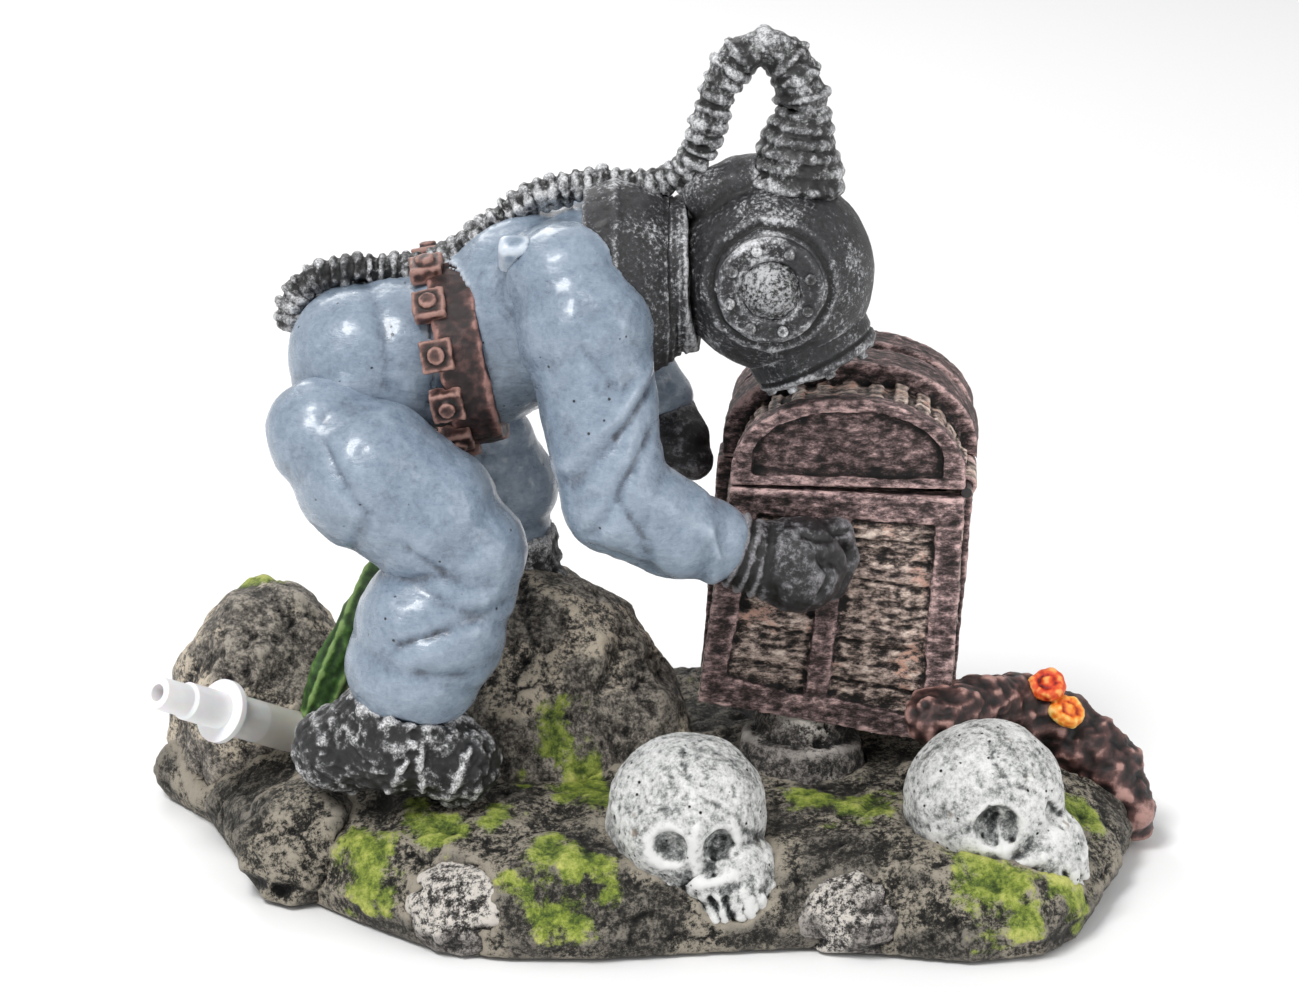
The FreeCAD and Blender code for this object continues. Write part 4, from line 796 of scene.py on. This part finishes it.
def driftwood(seed):
    """Twisted root: long furrows, knots and a broken end."""
    clay = Clay("driftwood_root", 0.4, 5)
    twist = clay.points + 1.6 * layered(clay.points, 8, 2, seed)[:, None]
    furrow = ridged(twist * np.array([0.28, 0.28, 1.0]), 3.2, 3, seed + 2) - 0.6
    amount = 0.15 + 1.5 * layered(clay.points, 7, 3, seed + 4) + 1.2 * furrow
    clay.press(amount * ramp_up(clay.points[:, 2], 0.4, 2.0))
    clay.press(0.16 * layered(clay.points, 1.5, 3, seed + 7))
    return clay.finish("driftwood_root_sculpt", ROOT_WOOD)


def frond(node, seed):
    """Seaweed blade with ribs along it."""
    clay = Clay(node, 0.35, 3)
    amount = 0.35 * layered(clay.points, 4, 3, seed)
    for offset in (-0.30, -0.10, 0.10, 0.30):
        rib = [(0.10 + offset, 0.0), (0.46 + offset, 0.48), (0.86 + offset, 1.0)]
        amount += clay.stroke(rib, 0.45, 0.6)
    clay.press(amount)
    clay.press(0.12 * layered(clay.points, 1.4, 3, seed + 5))
    return clay.finish(node + "_sculpt", GREEN)


def boards(node, seed, body):
    """Rough boards between raised frames; the grain runs along each board."""
    clay = Clay(node, 0.34, 1)
    # Depths are in millimetres along the hinge; the hoops start and stop at shares of them.
    deep = clay.points @ DEPTH_AXIS
    front, back = deep.min(), deep.max()
    inward = np.minimum(deep - front, back - deep)
    facing = np.abs(clay.normals @ DEPTH_AXIS)
    end_face = ramp_up(facing, 0.5, 0.8)
    share = (deep - front) / (back - front)
    hoop = ramp_up(share, 0.345, 0.375) * (1 - ramp_up(share, 0.605, 0.635))
    if node == "chest_lid":
        hoop = np.maximum(hoop, ramp_up(share, 0.70, 0.73))
        hoop = np.maximum(hoop, 1 - ramp_up(share, 0.09, 0.11))
        plank = (1 - end_face) * (1 - hoop)
    else:
        recessed = ramp_up(inward, 0.45, 0.85) * (1 - ramp_up(inward, 2.6, 3.2))
        plank = end_face * recessed + (1 - end_face) * (1 - hoop) * ramp_up(inward, 2.0, 3.0)
    along = clay.points[:, 0] * end_face + clay.points[:, 1] * (1 - end_face)
    across = clay.points[:, 2] + 0.5 * clay.points[:, 0] * (1 - end_face)
    grain_place = np.stack([along / 6.0, across, 0.3 * deep], axis=1)
    grain_place[:, 1] += 0.6 * layered(clay.points, 6, 3, seed)
    rough = ridged(grain_place * np.array([1, 1 / 1.5, 1]), 1.0, 2, seed + 2) - 0.6
    ledge = ridged(grain_place * np.array([0.8, 1 / 3.1, 1]), 1.0, 2, seed + 4) - 0.6
    amount = 0.20 * layered(clay.points, 7, 3, seed + 6) + 0.28 * rough
    amount += 0.10 * layered(clay.points, 1.6, 3, seed + 8)
    amount += plank * (0.40 * ledge + 0.60 * rough) * ramp_up(facing + (1 - end_face), 0.5, 0.8)
    # The faces where the lid meets the body stay flat.
    gap_edge = ramp_up(np.abs(clay.points[:, 2] - HINGE["pos_m"][2] / MM), 0.6, 1.8)
    clay.press((amount - 0.05) * gap_edge)
    clay.masks["plank"] = plank
    return clay.finish(node + "_sculpt", CHEST, body, gain=0.6)


# ------------------------------------------------------------- build pieces

# Folds as (line, width, height), the line in shares of the piece's width and height.
ARM_FOLDS = [
    ([(0.62, 0.60), (0.44, 0.47), (0.26, 0.34)], 1.0, -0.9),
    ([(0.60, 0.64), (0.42, 0.51), (0.24, 0.40)], 1.6, 0.6),
    ([(0.58, 0.46), (0.45, 0.32), (0.34, 0.19)], 0.8, -0.7),
    ([(0.30, 0.72), (0.42, 0.62), (0.56, 0.66)], 1.4, -0.4),
    ([(0.36, 0.14), (0.50, 0.10), (0.66, 0.03)], 0.9, -0.8),
    ([(0.46, 0.30), (0.56, 0.18), (0.58, 0.06)], 0.9, -0.6),
    ([(0.82, 0.18), (0.86, 0.10), (0.84, 0.02)], 0.8, 0.7),
]
LEG_FOLDS = [
    ([(0.10, 0.62), (0.30, 0.50), (0.50, 0.40)], 1.6, 0.4),
    ([(0.26, 0.86), (0.40, 0.70), (0.34, 0.55)], 0.9, -0.5),
    ([(0.56, 0.60), (0.70, 0.52), (0.86, 0.50)], 1.0, -0.5),
    ([(0.52, 0.34), (0.70, 0.38), (0.92, 0.42)], 0.9, -0.9),
    ([(0.60, 0.26), (0.76, 0.24), (0.90, 0.26)], 0.9, -0.5),
    ([(0.50, 0.10), (0.70, 0.06), (0.84, 0.10)], 0.8, -0.6),
]
HIP_FOLDS = [
    ([(0.02, 0.34), (0.40, 0.46), (0.80, 0.28)], 1.2, 0.8),
    ([(0.02, 0.22), (0.40, 0.34), (0.80, 0.16)], 1.0, -0.8),
]
cloth("near_arm", 11, ARM_FOLDS, (0.75, 0.0, 0.66))
cloth("far_arm", 23, ARM_FOLDS[:4], (0.75, 0.0, 0.66))
cloth("near_leg", 31, LEG_FOLDS, (0.8, 0.1, -0.5))
cloth("far_leg", 37, LEG_FOLDS[:3], (0.8, 0.1, -0.5))
cloth("diver_hips", 41, HIP_FOLDS, (0.9, 0.0, 0.2))
cloth("diver_torso", 43, (), (0.3, 0.0, 0.9), 0.5)
cast("shoulder_buckles", SUIT, 47, 0.35, 2)

helmet(51)
corselet(53)
for side in ("near", "far", "front"):
    window_frame(side, 55)
    cast(side + "_window_glass", GLASS_SILVER, 57, 0.25, 1, 0.0, 0.08, 0.14,
         2.0, 0.15)
cast("window_bolts", HOSE_SILVER, 59, 0.16, 1, 0.05, 0.04, 0.03, 2.0, 0.25)
cast("hose_crown", HOSE_SILVER, 61, 0.3, 4, 0.15, 0.40, 0.18, 3.0, 0.3)
cast("back_hose", HOSE_SILVER, 63, 0.28, 5, 0.14, 0.40, 0.20, 2.4, 0.28)

cast("weight_belt", BELT, 67, 0.35, 2, 0.1, 0.2, 0.12, 3.0)
cast("belt_weights", COPPER, 69, 0.25, 2, 0.1, 0.15, 0.08, 2.0)
boot("near_boot", 71)
boot("far_boot", 73)
glove("near_glove", 77)
glove("far_glove", 79)

boards("chest_body", 83, ROOT)
boards("chest_lid", 89, "lid")

stone("base_casting", ROCK, 101, 0.6)
stone("rear_boulder", TAN_ROCK, 103)
stone("centre_boulder", TAN_ROCK, 107)
stone("back_rock", ROCK, 109)
stone("front_left_rock", ROCK, 113, 0.5, 0.9, False)
stone("front_stone_pale", CREAM_ROCK, 127, 0.45, 0.7, False)
stone("front_stone_brown", CREAM_ROCK, 131, 0.45, 0.7, False)
stone("chest_stump", CREAM_ROCK, 137, 0.4, 0.6)
skull("skull_left", 139)
skull("skull_right", 149)
driftwood(151)
frond("seaweed_frond", 157)
cast("anemone_red", RED, 163, 0.22, 2, 0.05, 0.25, 0.1, 2.0)
cast("anemone_orange", ORANGE, 167, 0.22, 2, 0.05, 0.25, 0.1, 2.0)

for node, material in (("air_tube", TUBE), ("hose_connector", NIPPLE), ("hinge_pin", STEEL)):
    kept = frame["nodes"][node]
    kept.data.materials.clear()
    kept.data.materials.append(material)


# ---------------------------------------------------------- stage and light

# Metres and watts, except the lens and sensor in millimetres and the lift in degrees.
FLOOR_REACH = 3.0
FLOOR_GAP = 0.0006
SKY_STRENGTH = 0.6
LIGHTS = [
    # name, place, size, power
    ("key", (-0.30, -0.45, 0.80), 0.30, 5.8),
    ("fill", (0.75, -0.45, 0.35), 0.5, 2.0),
    ("back", (-0.3, 0.7, 0.6), 0.4, 2.5),
]
SENSOR_WIDTH = 36.0
LENS_LENGTH = 110.24
CAMERA_LIFT = 18
CAMERA_REACH = 0.6
AIM_HEIGHT = 0.056

def pale_floor():
    """A wide floor just under the base."""
    height = cad_low.z - FLOOR_GAP
    corners = [
        (-FLOOR_REACH, -FLOOR_REACH, height), (FLOOR_REACH, -FLOOR_REACH, height),
        (FLOOR_REACH, FLOOR_REACH, height), (-FLOOR_REACH, FLOOR_REACH, height),
    ]
    mesh = bpy.data.meshes.new("floor")
    mesh.from_pydata(corners, [], [(0, 1, 2, 3)])
    floor = bpy.data.objects.new("floor", mesh)
    bpy.context.scene.collection.objects.link(floor)
    paint = Paint("floor_paint", roughness=0.9, specular=0.1)
    mesh.materials.append(paint.done(colour(244, 244, 244)))


def area_light(name, place, size, power):
    """A soft square light aimed at the middle of the ornament."""
    light = bpy.data.lights.new(name, "AREA")
    light.size = size
    light.energy = power
    lamp = bpy.data.objects.new(name, light)
    lamp.location = place
    aim = (cad_low + cad_high) / 2 - lamp.location
    lamp.rotation_euler = aim.to_track_quat("-Z", "Y").to_euler()
    bpy.context.scene.collection.objects.link(lamp)


def studio():
    """Even white surroundings and the area lights."""
    world = bpy.data.worlds.new("studio")
    bpy.context.scene.world = world
    world.use_nodes = True
    sky = world.node_tree.nodes["Background"]
    sky.inputs["Color"].default_value = (1.0, 1.0, 1.0, 1.0)
    sky.inputs["Strength"].default_value = SKY_STRENGTH
    for name, place, size, power in LIGHTS:
        area_light(name, Vector(place), size, power)
    bpy.context.scene.view_settings.view_transform = "Standard"


def camera():
    """A view of the ornament's long front from a little above."""
    lens = bpy.data.cameras.new("camera")
    lens.sensor_width = SENSOR_WIDTH
    lens.lens = LENS_LENGTH
    holder = bpy.data.objects.new("camera", lens)
    bpy.context.scene.collection.objects.link(holder)
    lift = math.radians(CAMERA_LIFT)
    aim = Vector((0.0, 0.0, AIM_HEIGHT))
    holder.location = aim + Vector((0.0, -math.cos(lift), math.sin(lift))) * CAMERA_REACH
    holder.rotation_euler = (math.pi / 2 - lift, 0.0, 0.0)
    bpy.context.scene.camera = holder


pale_floor()
studio()
camera()
